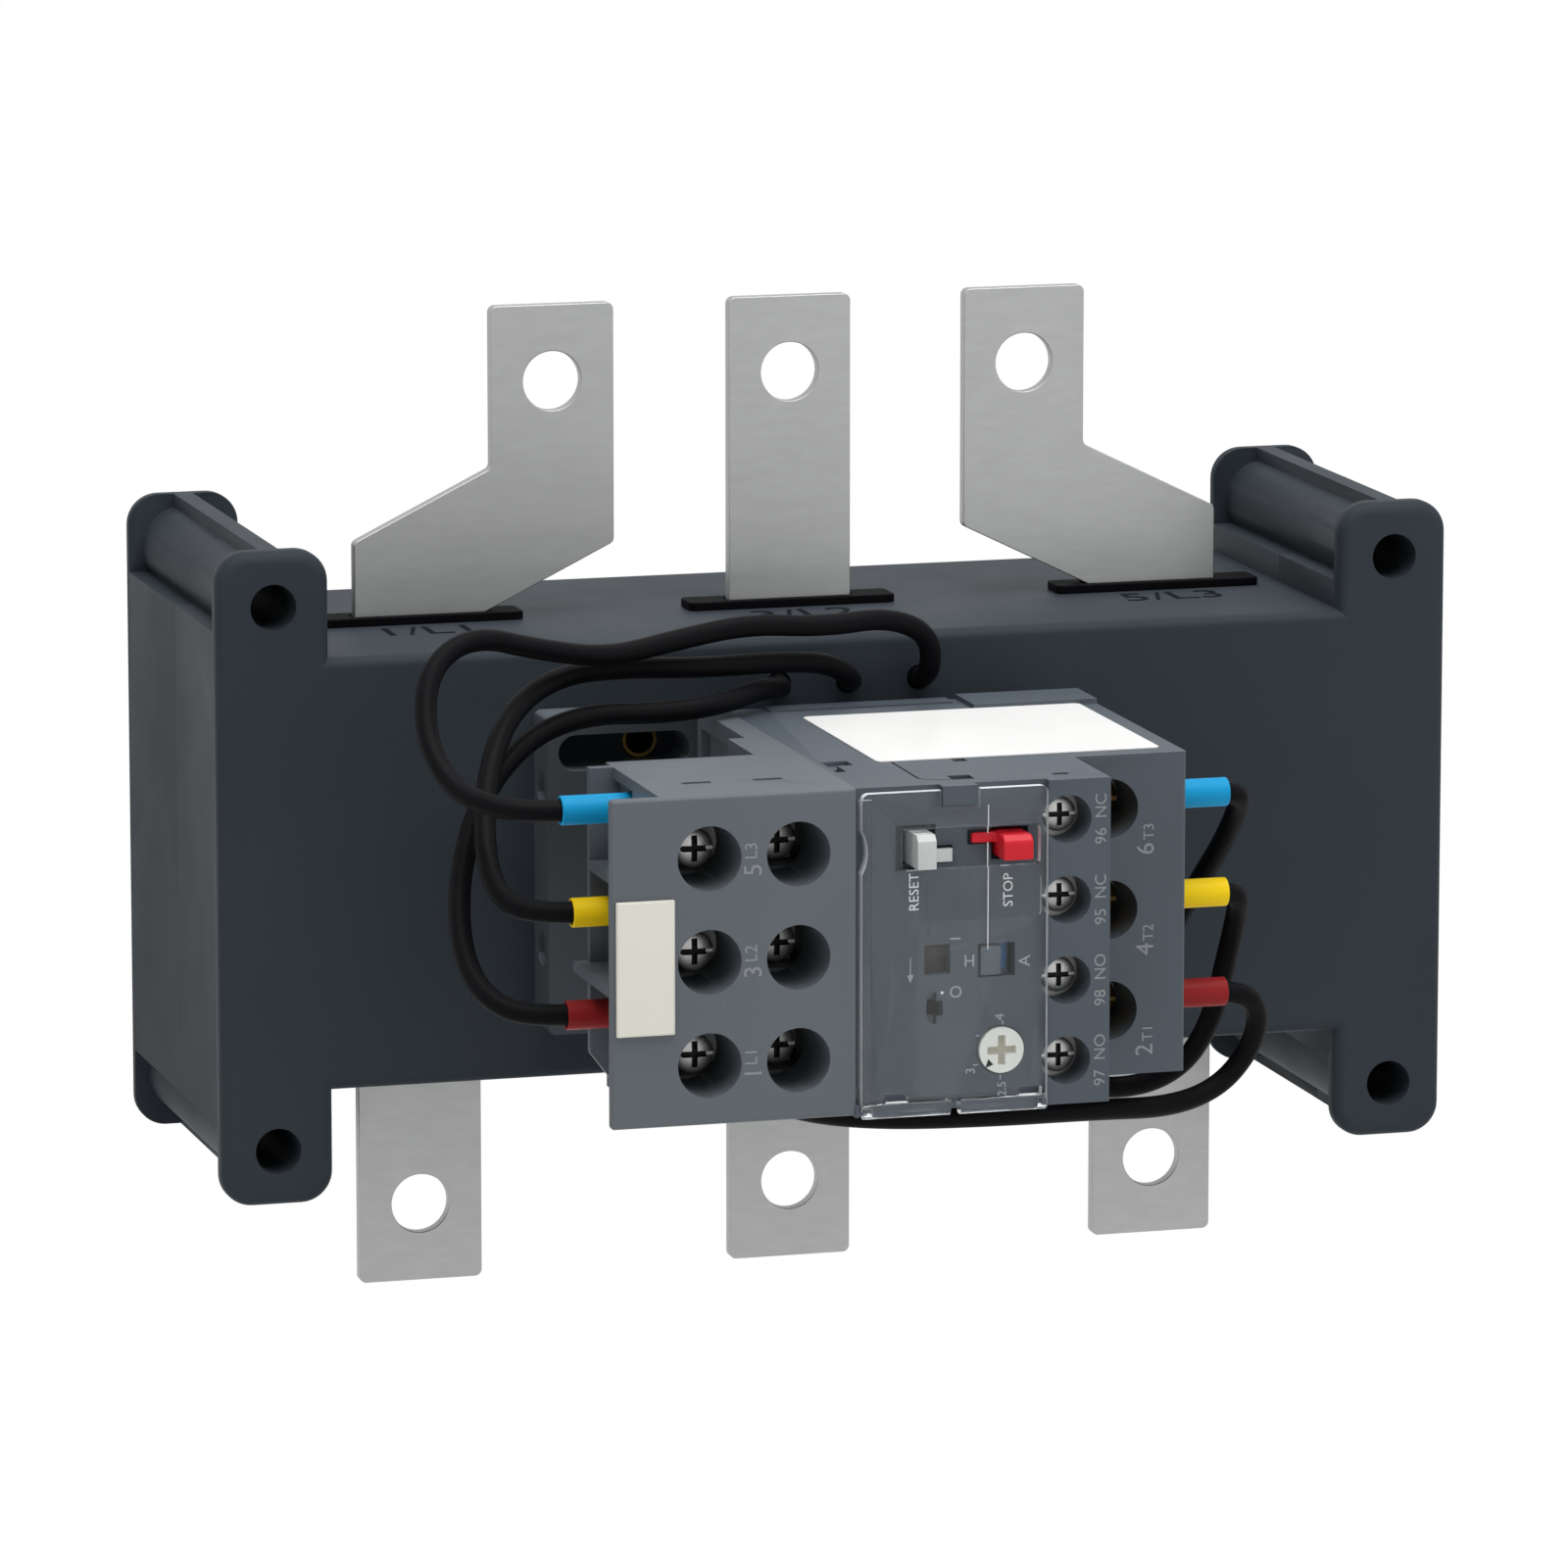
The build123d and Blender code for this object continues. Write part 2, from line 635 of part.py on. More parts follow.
# Terminal block of the adapter: screw wells in front, wire pockets on the left
cavity_front = relay_front_y + well_floor
cavity_back = terminal_back - 3.5
with BuildPart() as adapter_terminal_block:
    slab(relay_front_y, terminal_back, post_left, seam_x, adapter_low, adapter_top)
    slab(relay_front_y, relay_front_y + flange_thickness, block_left, post_left, adapter_low, adapter_top)
    fillet(edges().filter_by(Axis.Z).sort_by(Axis.X)[0:2], 0.5)
    with BuildSketch(at_y(terminal_back - fin_set_in)):
        with BuildLine():
            Polyline((fin_left, adapter_top), (post_left, adapter_top), (post_left, adapter_low + 1.2),
                     (fin_left, adapter_low + fin_slope_rise), close=True)
        make_face()
    extrude(amount=fin_thickness)
    for pole, shelf_left in zip(poles[:2], (fin_left, partition_left)):
        shelf = pole - shelf_drop
        slab(relay_front_y + flange_thickness, terminal_back - fin_set_in, shelf_left, post_left,
             shelf - fin_thickness / 2, shelf + fin_thickness / 2)
    for pole in poles:
        for x in (line_well_x, relay_well_x):
            drill(x, pole, line_well_radius, relay_front_y, cavity_front)
        slab(cavity_front, cavity_back, line_well_x - cavity_reach, relay_well_x + cavity_reach,
             pole - cavity_low, pole + cavity_high, Mode.SUBTRACT)
        cross_bore(left_lead_y, pole + entry_rise, sleeve_radius + clearance, post_left, line_well_x)
        slab(left_lead_y - pocket_front, terminal_back - fin_set_in - fin_thickness, post_left,
             post_left + pocket_depth, pole + entry_rise - pocket_half, pole + entry_rise + pocket_half,
             Mode.SUBTRACT)
        slab(pin_y - pin_thickness / 2 - clearance, pin_y + pin_thickness / 2 + clearance, relay_well_x,
             seam_x, pole - pin_half - clearance, pole + pin_half + clearance, Mode.SUBTRACT)
    for x in slit_x:
        slab(relay_front_y + slit_depth, relay_front_y + slit_depth + slit_width, x - slit_length / 2,
             x + slit_length / 2, adapter_top - 0.8, adapter_top, Mode.SUBTRACT)
    fillet(faces().sort_by(Axis.Y)[0].outer_wire().edges().filter_by(Axis.X), 0.6)
adapter_terminal_block.part.label = "adapter_terminal_block"
export_step(adapter_terminal_block.part, "parts/adapter_terminal_block.step")

# Blank marker plate on the front of the adapter
with BuildPart() as marker_plate:
    slab(relay_front_y - marker_thickness, relay_front_y, marker_left, marker_left + marker_width,
         -marker_height / 2, marker_height / 2)
    fillet(faces().sort_by(Axis.Y)[0].edges(), 0.3)
marker_plate.part.label = "marker_plate"
export_step(marker_plate.part, "parts/marker_plate.step")

# Screws of the incoming terminals
with BuildPart() as adapter_line_screws:
    for pole in poles:
        pan_screw(line_well_x, pole, relay_front_y + line_head_depth, line_head_radius,
                  line_shank_radius, cavity_back - 0.5)
adapter_line_screws.part.label = "adapter_line_screws"
export_step(adapter_line_screws.part, "parts/adapter_line_screws.step")

# Screws that clamp the pins of the relay
with BuildPart() as adapter_relay_screws:
    for pole in poles:
        pan_screw(relay_well_x, pole, relay_front_y + relay_head_depth, line_head_radius,
                  line_shank_radius, cavity_back - 0.5)
adapter_relay_screws.part.label = "adapter_relay_screws"
export_step(adapter_relay_screws.part, "parts/adapter_relay_screws.step")

# Conductor strips of the adapter, one to a pole
strip_front = left_lead_y + ferrule_radius + 0.1
with BuildPart() as adapter_strips:
    for pole in poles:
        slab(strip_front, strip_front + strip_thickness, line_well_x - cavity_reach + clearance,
             relay_well_x + cavity_reach - clearance, pole - cavity_low + clearance,
             pole + cavity_high - clearance)
        for x in (line_well_x, relay_well_x):
            drill(x, pole, line_shank_radius + 0.15, strip_front, strip_front + strip_thickness)
adapter_strips.part.label = "adapter_strips"
export_step(adapter_strips.part, "parts/adapter_strips.step")

# Clamp plates under the screw heads of the adapter
with BuildPart() as adapter_clamp_plates:
    for pole in poles:
        for x, front in ((line_well_x, left_lead_y - ferrule_radius - 0.1 - plate_metal),
                         (relay_well_x, pin_y - pin_thickness / 2 - 0.1 - plate_metal)):
            slab(front, front + plate_metal, x - 3.6, x + 3.6, pole - cavity_low + clearance,
                 pole + cavity_high - clearance)
            drill(x, pole, line_shank_radius + 0.15, front, front + plate_metal)
adapter_clamp_plates.part.label = "adapter_clamp_plates"
export_step(adapter_clamp_plates.part, "parts/adapter_clamp_plates.step")

# Screws that hold the adapter on the block
with BuildPart() as adapter_fixing_screws:
    fixing_spots = [(insert_x[0], -insert_z, case_back - head_height)]
    fixing_spots += [(insert_x[1], z, case_back + 0.4) for z in (insert_right_z, -insert_right_z)]
    for x, z, head_y in fixing_spots:
        pan_screw(x, z, head_y, fixing_head_radius, fixing_radius, -block_depth + insert_length - 1)
adapter_fixing_screws.part.label = "adapter_fixing_screws"
export_step(adapter_fixing_screws.part, "parts/adapter_fixing_screws.step")

# Rear casing of the relay: three bimetal chambers and the outgoing terminals
case_left = seam_x
clamp_front = right_lead_y - ferrule_radius - 0.1 - plate_metal
power_strip_front = right_lead_y + ferrule_radius + 0.1
terminal_right = relay_right - 4
with BuildPart() as relay_case:
    slab(case_front, case_back, case_left, relay_right, relay_low, half_height)
    fillet(edges().filter_by(Axis.Z).sort_by(Axis.X)[-2:], 0.6)
    slab(case_back - back_rib_length, case_back, back_rib[0], back_rib[1], half_height,
         half_height + back_rib_height)
    slab(relay_front_y + tool_step_depths[0], relay_front_y + tool_step_depths[1], tool_step[0],
         tool_step[1], half_height - 0.6, half_height, Mode.SUBTRACT)
    slab(case_front, relay_front_y + tool_slot_depths[1], tool_slot[0], tool_slot[1], half_height - 1.6,
         half_height, Mode.SUBTRACT)
    slab(case_front, label_front, groove_path[0][0] - groove_width / 2,
         groove_path[0][0] + groove_width / 2, half_height - groove_depth, half_height, Mode.SUBTRACT)
    slab(label_front - label_notch_length, label_front, label_notch[0], label_notch[1], half_height - 1.0,
         half_height, Mode.SUBTRACT)
    slab(case_back - ledge_length, case_back, module_right - ledge_overlap, relay_right, half_height,
         half_height + ledge_height)
    for pole in poles:
        slab(case_front, chamber_back, chamber_left, chamber_right, pole - chamber_half,
             pole + chamber_half, Mode.SUBTRACT)
        slab(pin_y - pin_thickness / 2 - clearance, pin_y + pin_thickness / 2 + clearance, case_left,
             chamber_left, pole - pin_half - clearance, pole + pin_half + clearance, Mode.SUBTRACT)
        drill(power_well_x, pole + power_rise, power_well_radius, case_front, clamp_front - clearance)
        slab(clamp_front - clearance, power_cavity_back, module_right + 0.8, terminal_right,
             pole - power_half, pole + power_half, Mode.SUBTRACT)
        cross_bore(right_lead_y, pole, sleeve_radius + clearance, terminal_right, relay_right)
        slab(power_strip_front - clearance, power_strip_front + strip_thickness + clearance,
             chamber_right, module_right + 0.8, pole - power_half, pole + power_half, Mode.SUBTRACT)
    slab(slide_notch[0], slide_notch[1], chamber_left, chamber_left + slide_notch_width,
         poles[2] - chamber_half, poles[0] + chamber_half, Mode.SUBTRACT)
relay_case.part.label = "relay_case"
export_step(relay_case.part, "parts/relay_case.step")

# Front casing of the relay: controls on the left, control terminals on the right
module_back = case_front
well_end = aux_front + aux_head_depth + aux_head_height + 0.3
entry_front = aux_entry_y - aux_entry / 2
aux_strip_front = aux_entry_y + aux_entry / 2 - 0.3
face_wall = face_y + face_thickness
with BuildPart() as relay_front:
    slab(aux_front, module_back, cover_right, module_right, relay_low, half_height)
    slab(face_y, module_back, case_left, cover_right, relay_low, half_height)
    slab(face_wall, module_back, module_cavity[0], module_cavity[1], relay_low + 1.8, half_height - 2,
         Mode.SUBTRACT)
    slab(face_wall, floor_y + floor_thickness, reset_recess[0] - 1, cover_right,
         button_z - recess_half - 1, button_z + recess_half + 1)
    slab(face_y, floor_y, reset_recess[0], reset_recess[1], button_z - recess_half,
         button_z + recess_half, Mode.SUBTRACT)
    slab(face_y, floor_y, tab_slot[0], tab_slot[1], tab_slot_z - tab_slot_half,
         tab_slot_z + tab_slot_half, Mode.SUBTRACT)
    slab(face_y, floor_y, stop_x - stop_width / 2 - stop_recess_gap,
         stop_x + stop_width / 2 + stop_recess_gap, button_z - stop_height / 2 - stop_recess_gap,
         button_z + stop_height / 2 + stop_recess_gap, Mode.SUBTRACT)
    slab(face_y, floor_y, stop_x - stop_width / 2 - arm_length - clearance, stop_x - stop_width / 2,
         button_z + arm_low - clearance, button_z + arm_high + clearance, Mode.SUBTRACT)
    slab(face_y, floor_y + floor_thickness, reset_x - reset_width / 2 - button_gap,
         reset_x + reset_width / 2 + button_gap, button_z - reset_height / 2 - button_gap,
         button_z + reset_height / 2 + button_gap, Mode.SUBTRACT)
    slab(face_y, floor_y + floor_thickness, stop_x - stop_width / 2 - button_gap,
         stop_x + stop_width / 2 + button_gap, button_z - stop_height / 2 - button_gap,
         button_z + stop_height / 2 + button_gap, Mode.SUBTRACT)
    slab(relay_front_y, face_y, tab_left, tab_right, half_height - tab_height, half_height)
    slab(face_y, face_wall, window_left, window_right, window_low, window_high, Mode.SUBTRACT)
    slab(face_y, face_wall, selector_left - clearance, selector_right + selector_travel + clearance,
         selector_low - clearance, selector_high + clearance, Mode.SUBTRACT)
    drill(dial_x, dial_z, dial_radius + 0.2, face_y, face_y + dial_seat)
    drill(dial_x, dial_z, dial_shaft_radius + running_gap, face_y, face_wall)
    with BuildSketch(at_y(face_y + 1.2)):
        with Locations((test_x, test_z)):
            SlotOverall(test_height, test_width, rotation=90)
        with Locations((test_x - test_width / 2, test_z)):
            Rectangle(test_width, test_height, mode=Mode.INTERSECT)
    extrude(amount=1.2, mode=Mode.SUBTRACT)
    slab(face_y, face_wall, test_x - test_pin / 2 - 0.15 - clearance,
         test_x + test_pin / 2 - 0.15 + clearance, test_z - test_pin / 2 - clearance,
         test_z + test_pin / 2 + clearance, Mode.SUBTRACT)
    slab(relay_front_y - 1, hinge_y + hinge_radius + clearance, case_left, cover_right, relay_low - 1,
         hinge_z + hinge_radius + clearance, Mode.SUBTRACT)
    slab(hinge_y - hinge_radius, module_back, case_left, case_left + cheek, relay_low,
         hinge_z + hinge_radius)
    cross_bore(hinge_y, hinge_z, hinge_pin_radius, case_left + cheek, case_left + cheek + 1.2, Mode.ADD)
    cross_bore(hinge_y, hinge_z, hinge_pin_radius, cover_right - 0.8, cover_right, Mode.ADD)
    for z in aux_z:
        drill(aux_well_x, z, aux_well_radius, aux_front, well_end)
        slab(well_end, aux_strip_front + strip_thin + 0.2, aux_well_x - 3.3, module_right - 1.6,
             z - aux_half, z + aux_half, Mode.SUBTRACT)
        slab(entry_front, entry_front + aux_entry, module_right - 1.6, module_right, z - aux_entry / 2,
             z + aux_entry / 2, Mode.SUBTRACT)
        slab(aux_strip_front - 0.2, aux_strip_front + strip_thin + 0.2, module_cavity[1], aux_well_x,
             z - contact_half - 0.2, z + contact_half + 0.2, Mode.SUBTRACT)
    slab(lever_pivot_y - 1.8, module_back, lever_rib_x, lever_rib_x + 1, lever_z - 2.5, half_height - 2)
    slab(spring_seat_y, spring_seat_y + 1.2, reset_x - 1.5, reset_x + 2, button_z - 2, half_height - 2)
    cross_bore(lever_pivot_y, lever_z, lever_pin_radius + 0.02, case_left + 1, lever_rib_x + 1)
    with BuildSketch(Plane.XY.offset(half_height)):
        with BuildLine() as groove:
            FilletPolyline(*[(x, relay_front_y + depth) for x, depth in groove_path], radius=1.0)
        trace(line_width=groove_width)
    extrude(amount=-groove_depth, mode=Mode.SUBTRACT)
    slab(relay_front_y + latch_slot_depths[0], relay_front_y + latch_slot_depths[1], latch_slot[0],
         latch_slot[1], half_height - 1.0, half_height, Mode.SUBTRACT)
    slab(relay_front_y + tool_slot_depths[0], module_back, tool_slot[0], tool_slot[1], half_height - 1.6,
         half_height, Mode.SUBTRACT)
    slab(relay_front_y + module_slit_depth, relay_front_y + module_slit_depth + slit_width,
         module_slit[0], module_slit[1], half_height - 0.8, half_height, Mode.SUBTRACT)
relay_front.part.label = "relay_front"
export_step(relay_front.part, "parts/relay_front.step")

# Clear cover, hinged along its lower edge
with BuildPart() as clear_cover:
    slab(cover_front, cover_front + cover_thickness, cover_left, cover_right - clearance, hinge_z,
         half_height - 0.5)
    fillet(edges().filter_by(Axis.Y).group_by(Axis.Z)[-1], 1.0)
    slab(cover_front + cover_thickness, face_y - clearance, cover_left, cover_left + side_lip,
         hinge_z + 3, half_height - 1.5)
    drill(cover_left - scoop_radius + scoop_depth, button_z, scoop_radius, cover_front, face_y)
    cross_bore(hinge_y, hinge_z, hinge_radius, barrel_left, cover_right - clearance, Mode.ADD)
    cross_bore(hinge_y, hinge_z, hinge_pin_radius + running_gap, cover_left, barrel_left + 1.2)
    cross_bore(hinge_y, hinge_z, hinge_pin_radius + running_gap, cover_right - clearance - 1.2, cover_right)
    with BuildSketch(at_y(face_y)):
        with Locations(((window_cut[0] + window_cut[1]) / 2, button_z)):
            RectangleRounded(window_cut[1] - window_cut[0], 2 * recess_half - 0.6, 0.8)
        with Locations(((tab_left + tab_right) / 2, half_height - tab_height / 2)):
            Rectangle(tab_right - tab_left + 2 * clearance, tab_height + 2 * clearance)
        for x in hook_x:
            with Locations((x, hinge_z + 1.7)):
                Rectangle(hook_width, 1.2)
        with Locations((notch_x, hinge_z)):
            Rectangle(1.4, 2.6)
    extrude(amount=4, mode=Mode.SUBTRACT)
    with BuildSketch(at_y(cover_front + pad_depth)):
        with Locations(((pad_x[0] + pad_x[1]) / 2, (pad_z[0] + pad_z[1]) / 2)):
            RectangleRounded(pad_x[1] - pad_x[0], pad_z[1] - pad_z[0], 0.8)
    extrude(amount=pad_depth, mode=Mode.SUBTRACT)
clear_cover.part.label = "clear_cover"
export_step(clear_cover.part, "parts/clear_cover.step")

# Blank rating label on top of the relay
with BuildPart() as rating_label:
    slab(label_front, label_back, label_left, label_right, half_height, half_height + label_thickness)
    fillet(edges().filter_by(Axis.Z), 1.0)
rating_label.part.label = "rating_label"
export_step(rating_label.part, "parts/rating_label.step")

# Reset button
button_front = relay_front_y - button_proud
shank_end = floor_y + floor_thickness + button_shank
flange_front = floor_y + floor_thickness + clearance
with BuildPart() as reset_button:
    slab(button_front, flange_front + 0.8, reset_x - reset_width / 2, reset_x + reset_width / 2,
         button_z - reset_height / 2, button_z + reset_height / 2)
    chamfer(edges().group_by(Axis.Y)[0].filter_by(Axis.X)[-1], 0.8)
    slab(flange_front, flange_front + 0.8, reset_x - 1.9, reset_x + 1.9, button_z - 2.9, button_z + 2.9)
    slab(face_y - 1, face_y - 0.2, reset_x + reset_width / 2, tab_slot[1] - clearance,
         tab_slot_z - tab_slot_half + clearance, tab_slot_z + tab_slot_half - clearance)
    drill(reset_x, button_z, 0.7, flange_front + 0.8, shank_end, Mode.ADD)
reset_button.part.label = "reset_button"
export_step(reset_button.part, "parts/reset_button.step")

# Spring of the reset button
with BuildPart() as reset_spring:
    with BuildLine() as coil:
        Helix(pitch=spring_pitch, height=spring_seat_y - flange_front - 0.8 - 2 * spring_wire - 0.1,
              radius=1.3,
              center=(reset_x, flange_front + 0.8 + spring_wire + 0.05, button_z), direction=(0, 1, 0))
    with BuildSketch(Plane(origin=coil.line @ 0, z_dir=coil.line % 0)):
        Circle(spring_wire)
    sweep()
reset_spring.part.label = "reset_spring"
export_step(reset_spring.part, "parts/reset_spring.step")

# Stop button with its moulded spring arm
with BuildPart() as stop_button:
    slab(button_front, flange_front + 0.8, stop_x - stop_width / 2, stop_x + stop_width / 2,
         button_z - stop_height / 2, button_z + stop_height / 2)
    chamfer(edges().group_by(Axis.Y)[0].filter_by(Axis.X)[-1], 0.8)
    slab(flange_front, flange_front + 0.8, stop_x - 2.7, stop_x + 2.7, button_z - 2.3, button_z + 2.3)
    slab(face_y - 1, face_y - 0.2, stop_x - stop_width / 2 - arm_length, stop_x - stop_width / 2,
         button_z + arm_low, button_z + arm_high)
stop_button.part.label = "stop_button"
export_step(stop_button.part, "parts/stop_button.step")

# Slider that selects manual or automatic reset
with BuildPart() as selector_slider:
    slab(face_y - 0.4, face_wall + clearance, selector_left, selector_right, selector_low, selector_high)
    slab(face_wall + clearance, face_wall + clearance + 0.8, selector_left - 1.2, selector_right + 1.8,
         selector_low - 0.8, selector_high + 0.8)
    slab(face_wall + clearance, face_wall + clearance + 0.4, insert_left - thread_gap,
         insert_right + thread_gap, selector_low + 0.2, selector_high - 0.1, Mode.SUBTRACT)
selector_slider.part.label = "selector_slider"
export_step(selector_slider.part, "parts/selector_slider.step")

# Blue insert that shows beside the knob of the selector
with BuildPart() as mode_insert:
    slab(face_wall + clearance, face_wall + clearance + 0.35, insert_left, insert_right,
         selector_low + 0.25, selector_high - 0.15)
mode_insert.part.label = "mode_insert"
export_step(mode_insert.part, "parts/mode_insert.step")

# Setting dial with a cross recess
with BuildPart() as setting_dial:
    drill(dial_x, dial_z, dial_radius, face_y - 0.5, face_y + dial_seat - clearance, Mode.ADD)
    drill(dial_x, dial_z, dial_shaft_radius, face_y + dial_seat - clearance, cam_back + 0.2, Mode.ADD)
    with BuildSketch(at_y(face_y + 0.2)):
        with Locations((dial_x, dial_z)):
            Rectangle(dial_slot_length, dial_slot_width)
            Rectangle(dial_slot_width, dial_slot_length)
    extrude(amount=0.7, mode=Mode.SUBTRACT)
setting_dial.part.label = "setting_dial"
export_step(setting_dial.part, "parts/setting_dial.step")

# Cam of the setting dial
with BuildPart() as setting_cam:
    drill(dial_x + cam_offset, dial_z, cam_radius, face_wall + clearance, cam_back, Mode.ADD)
    drill(dial_x, dial_z, dial_shaft_radius + 0.03, face_wall, cam_back + 1)
setting_cam.part.label = "setting_cam"
export_step(setting_cam.part, "parts/setting_cam.step")

# Test button in its recess
with BuildPart() as test_button:
    slab(face_y + 1.0, face_wall + test_length, test_x - 0.15 - test_pin / 2,
         test_x - 0.15 + test_pin / 2, test_z - test_pin / 2, test_z + test_pin / 2)
    slab(face_wall + clearance, face_wall + clearance + 0.8, test_x - 2, test_x + 1.7, test_z - 2.0,
         test_z + 1.1)
test_button.part.label = "test_button"
export_step(test_button.part, "parts/test_button.step")

# Trip flag behind the window
with BuildPart() as trip_flag:
    slab(face_wall + clearance, face_wall + clearance + 0.8, window_left - 0.8, window_right + 0.8,
         window_low - 0.8, window_high + 2.8)
trip_flag.part.label = "trip_flag"
export_step(trip_flag.part, "parts/trip_flag.step")

# Bimetal strips, one to a pole
for number, pole in enumerate(poles):
    name = f"bimetal_l{3 - number}"
    with BuildPart() as bimetal:
        slab(bimetal_y - bimetal_width / 2, bimetal_y + bimetal_width / 2, bimetal_tip,
             chamber_right - 0.4, pole - bimetal_thickness / 2, pole + bimetal_thickness / 2)
    bimetal.part.label = name
    export_step(bimetal.part, f"parts/{name}.step")

# Brackets that carry the bimetal strips on the outgoing terminals
with BuildPart() as bimetal_mounts:
    for pole in poles:
        slab(power_strip_front + strip_thickness + 0.1, bimetal_y + bimetal_width / 2,
             chamber_right - clearance - bimetal_mount, chamber_right - clearance,
             pole - bimetal_thickness / 2 - 1.05, pole - bimetal_thickness / 2 - 0.05)
bimetal_mounts.part.label = "bimetal_mounts"
export_step(bimetal_mounts.part, "parts/bimetal_mounts.step")

# Heater ribbons wound round the bimetal strips
with BuildPart() as heater_windings:
    for pole in poles:
        y_side = bimetal_width / 2 + heater_gap
        z_side = bimetal_thickness / 2 + heater_gap
        corners = [(-y_side, z_side), (y_side, z_side), (y_side, -z_side), (-y_side, -z_side)]
        points = [(heater_start, pin_y + pin_thickness / 2 + 0.4, pole + z_side)]
        for step in range(4 * heater_turns + 1):
            dy, dz = corners[step % 4]
            points.append((heater_start + step * heater_pitch / 4, bimetal_y + dy, pole + dz))
        with BuildLine() as ribbon:
            Polyline(*points)
        with BuildSketch(Plane(origin=ribbon.line @ 0, z_dir=ribbon.line % 0)):
            Rectangle(heater_wire, heater_wire)
        sweep(path=ribbon.line, transition=Transition.RIGHT)
heater_windings.part.label = "heater_windings"
export_step(heater_windings.part, "parts/heater_windings.step")

# Forked pins that plug the relay into the adapter
with BuildPart() as relay_pins:
    for pole in poles:
        slab(pin_y - pin_thickness / 2, pin_y + pin_thickness / 2, relay_well_x - 3.6, heater_start + 0.6,
             pole - pin_half, pole + pin_half)
        slab(pin_y - pin_thickness, pin_y + pin_thickness, relay_well_x - 3.6, relay_well_x + 1.9,
             pole - line_shank_radius - 0.1, pole + line_shank_radius + 0.1, Mode.SUBTRACT)
relay_pins.part.label = "relay_pins"
export_step(relay_pins.part, "parts/relay_pins.step")

# Slides that the bimetal strips push
slide_left = chamber_left + 0.8
slide_right = bimetal_tip - 0.6
with BuildPart() as trip_slide:
    slab(push_slide_y - slide_width / 2, push_slide_y + slide_width / 2, slide_left, slide_right,
         poles[2] - 2, poles[0] + bimetal_thickness / 2 + finger_gap + finger_thickness)
    for pole in poles:
        finger = pole + bimetal_thickness / 2 + finger_gap
        slab(push_slide_y - slide_width / 2, push_slide_y + slide_width / 2, slide_right,
             slide_right + 2.2, finger, finger + finger_thickness)
trip_slide.part.label = "trip_slide"
export_step(trip_slide.part, "parts/trip_slide.step")

pull_gap = bimetal_thickness / 2 + finger_gap + slide_travel
with BuildPart() as differential_slide:
    slab(pull_slide_y - slide_width / 2, pull_slide_y + slide_width / 2, slide_left, slide_right,
         poles[2] - pull_gap - finger_thickness, poles[0] + 1)
    for pole in poles:
        slab(pull_slide_y - slide_width / 2, pull_slide_y + slide_width / 2, slide_right,
             slide_right + 2.2, pole - pull_gap - finger_thickness, pole - pull_gap)
differential_slide.part.label = "differential_slide"
export_step(differential_slide.part, "parts/differential_slide.step")

# Temperature compensating lever and its pin
with BuildPart() as compensator_lever:
    slab(lever_pivot_y - lever_front_arm, push_slide_y + slide_width / 2, slide_left,
         slide_left + lever_width, lever_z - lever_thickness / 2, lever_z + lever_thickness / 2)
    cross_bore(lever_pivot_y, lever_z, lever_pin_radius + 0.8, slide_left, slide_left + lever_width,
               Mode.ADD)
    cross_bore(lever_pivot_y, lever_z, lever_pin_radius + running_gap, slide_left, slide_left + lever_width)
compensator_lever.part.label = "compensator_lever"
export_step(compensator_lever.part, "parts/compensator_lever.step")

with BuildPart() as lever_pin:
    cross_bore(lever_pivot_y, lever_z, lever_pin_radius, case_left + 1.1, lever_rib_x + 0.9, Mode.ADD)
lever_pin.part.label = "lever_pin"
export_step(lever_pin.part, "parts/lever_pin.step")

# Fixed contacts: strips from the control terminals into the front casing
for name, levels in (("nc_contacts", aux_z[:2]), ("no_contacts", aux_z[2:])):
    with BuildPart() as contacts:
        for z in levels:
            slab(aux_strip_front, aux_strip_front + strip_thin, contact_left, aux_well_x + 3.2,
                 z - contact_half, z + contact_half)
            drill(aux_well_x, z, aux_shank_radius + 0.15, aux_strip_front, aux_strip_front + strip_thin)
    contacts.part.label = name
    export_step(contacts.part, f"parts/{name}.step")

# Moving contact carrier with its two bridges
bridge_x = (contact_left + 0.3, contact_left + 2.7)
nc_mid = (aux_z[0] + aux_z[1]) / 2 - 2
no_mid = (aux_z[2] + aux_z[3]) / 2
nc_back = aux_strip_front - clearance
no_front = aux_strip_front + strip_thin + clearance + carrier_travel
carrier_back = nc_back - bridge_thickness - 0.1
carrier_edge = contact_left - carrier_width
with BuildPart() as contact_carrier:
    slab(carrier_back - carrier_wall, carrier_back, carrier_edge - carrier_width, carrier_edge,
         aux_z[3] - 1, aux_z[0] + 1)
    for middle in (nc_mid, no_mid):
        slab(carrier_back - carrier_wall, carrier_back, carrier_edge, bridge_x[1],
             middle - carrier_width / 2 - 0.1, middle + carrier_width / 2 + 0.1)
    slab(carrier_back, no_front - 0.1, bridge_x[0], bridge_x[1], no_mid - carrier_width / 2 - 0.1,
         no_mid + carrier_width / 2 + 0.1)
contact_carrier.part.label = "contact_carrier"
export_step(contact_carrier.part, "parts/contact_carrier.step")

with BuildPart() as nc_bridge:
    slab(nc_back - bridge_thickness, nc_back, bridge_x[0], bridge_x[1], aux_z[1] - 1, aux_z[0] + 1)
nc_bridge.part.label = "nc_bridge"
export_step(nc_bridge.part, "parts/nc_bridge.step")

with BuildPart() as no_bridge:
    slab(no_front, no_front + 0.9, bridge_x[0], bridge_x[1], aux_z[3] - 1, aux_z[2] + 1)
no_bridge.part.label = "no_bridge"
export_step(no_bridge.part, "parts/no_bridge.step")

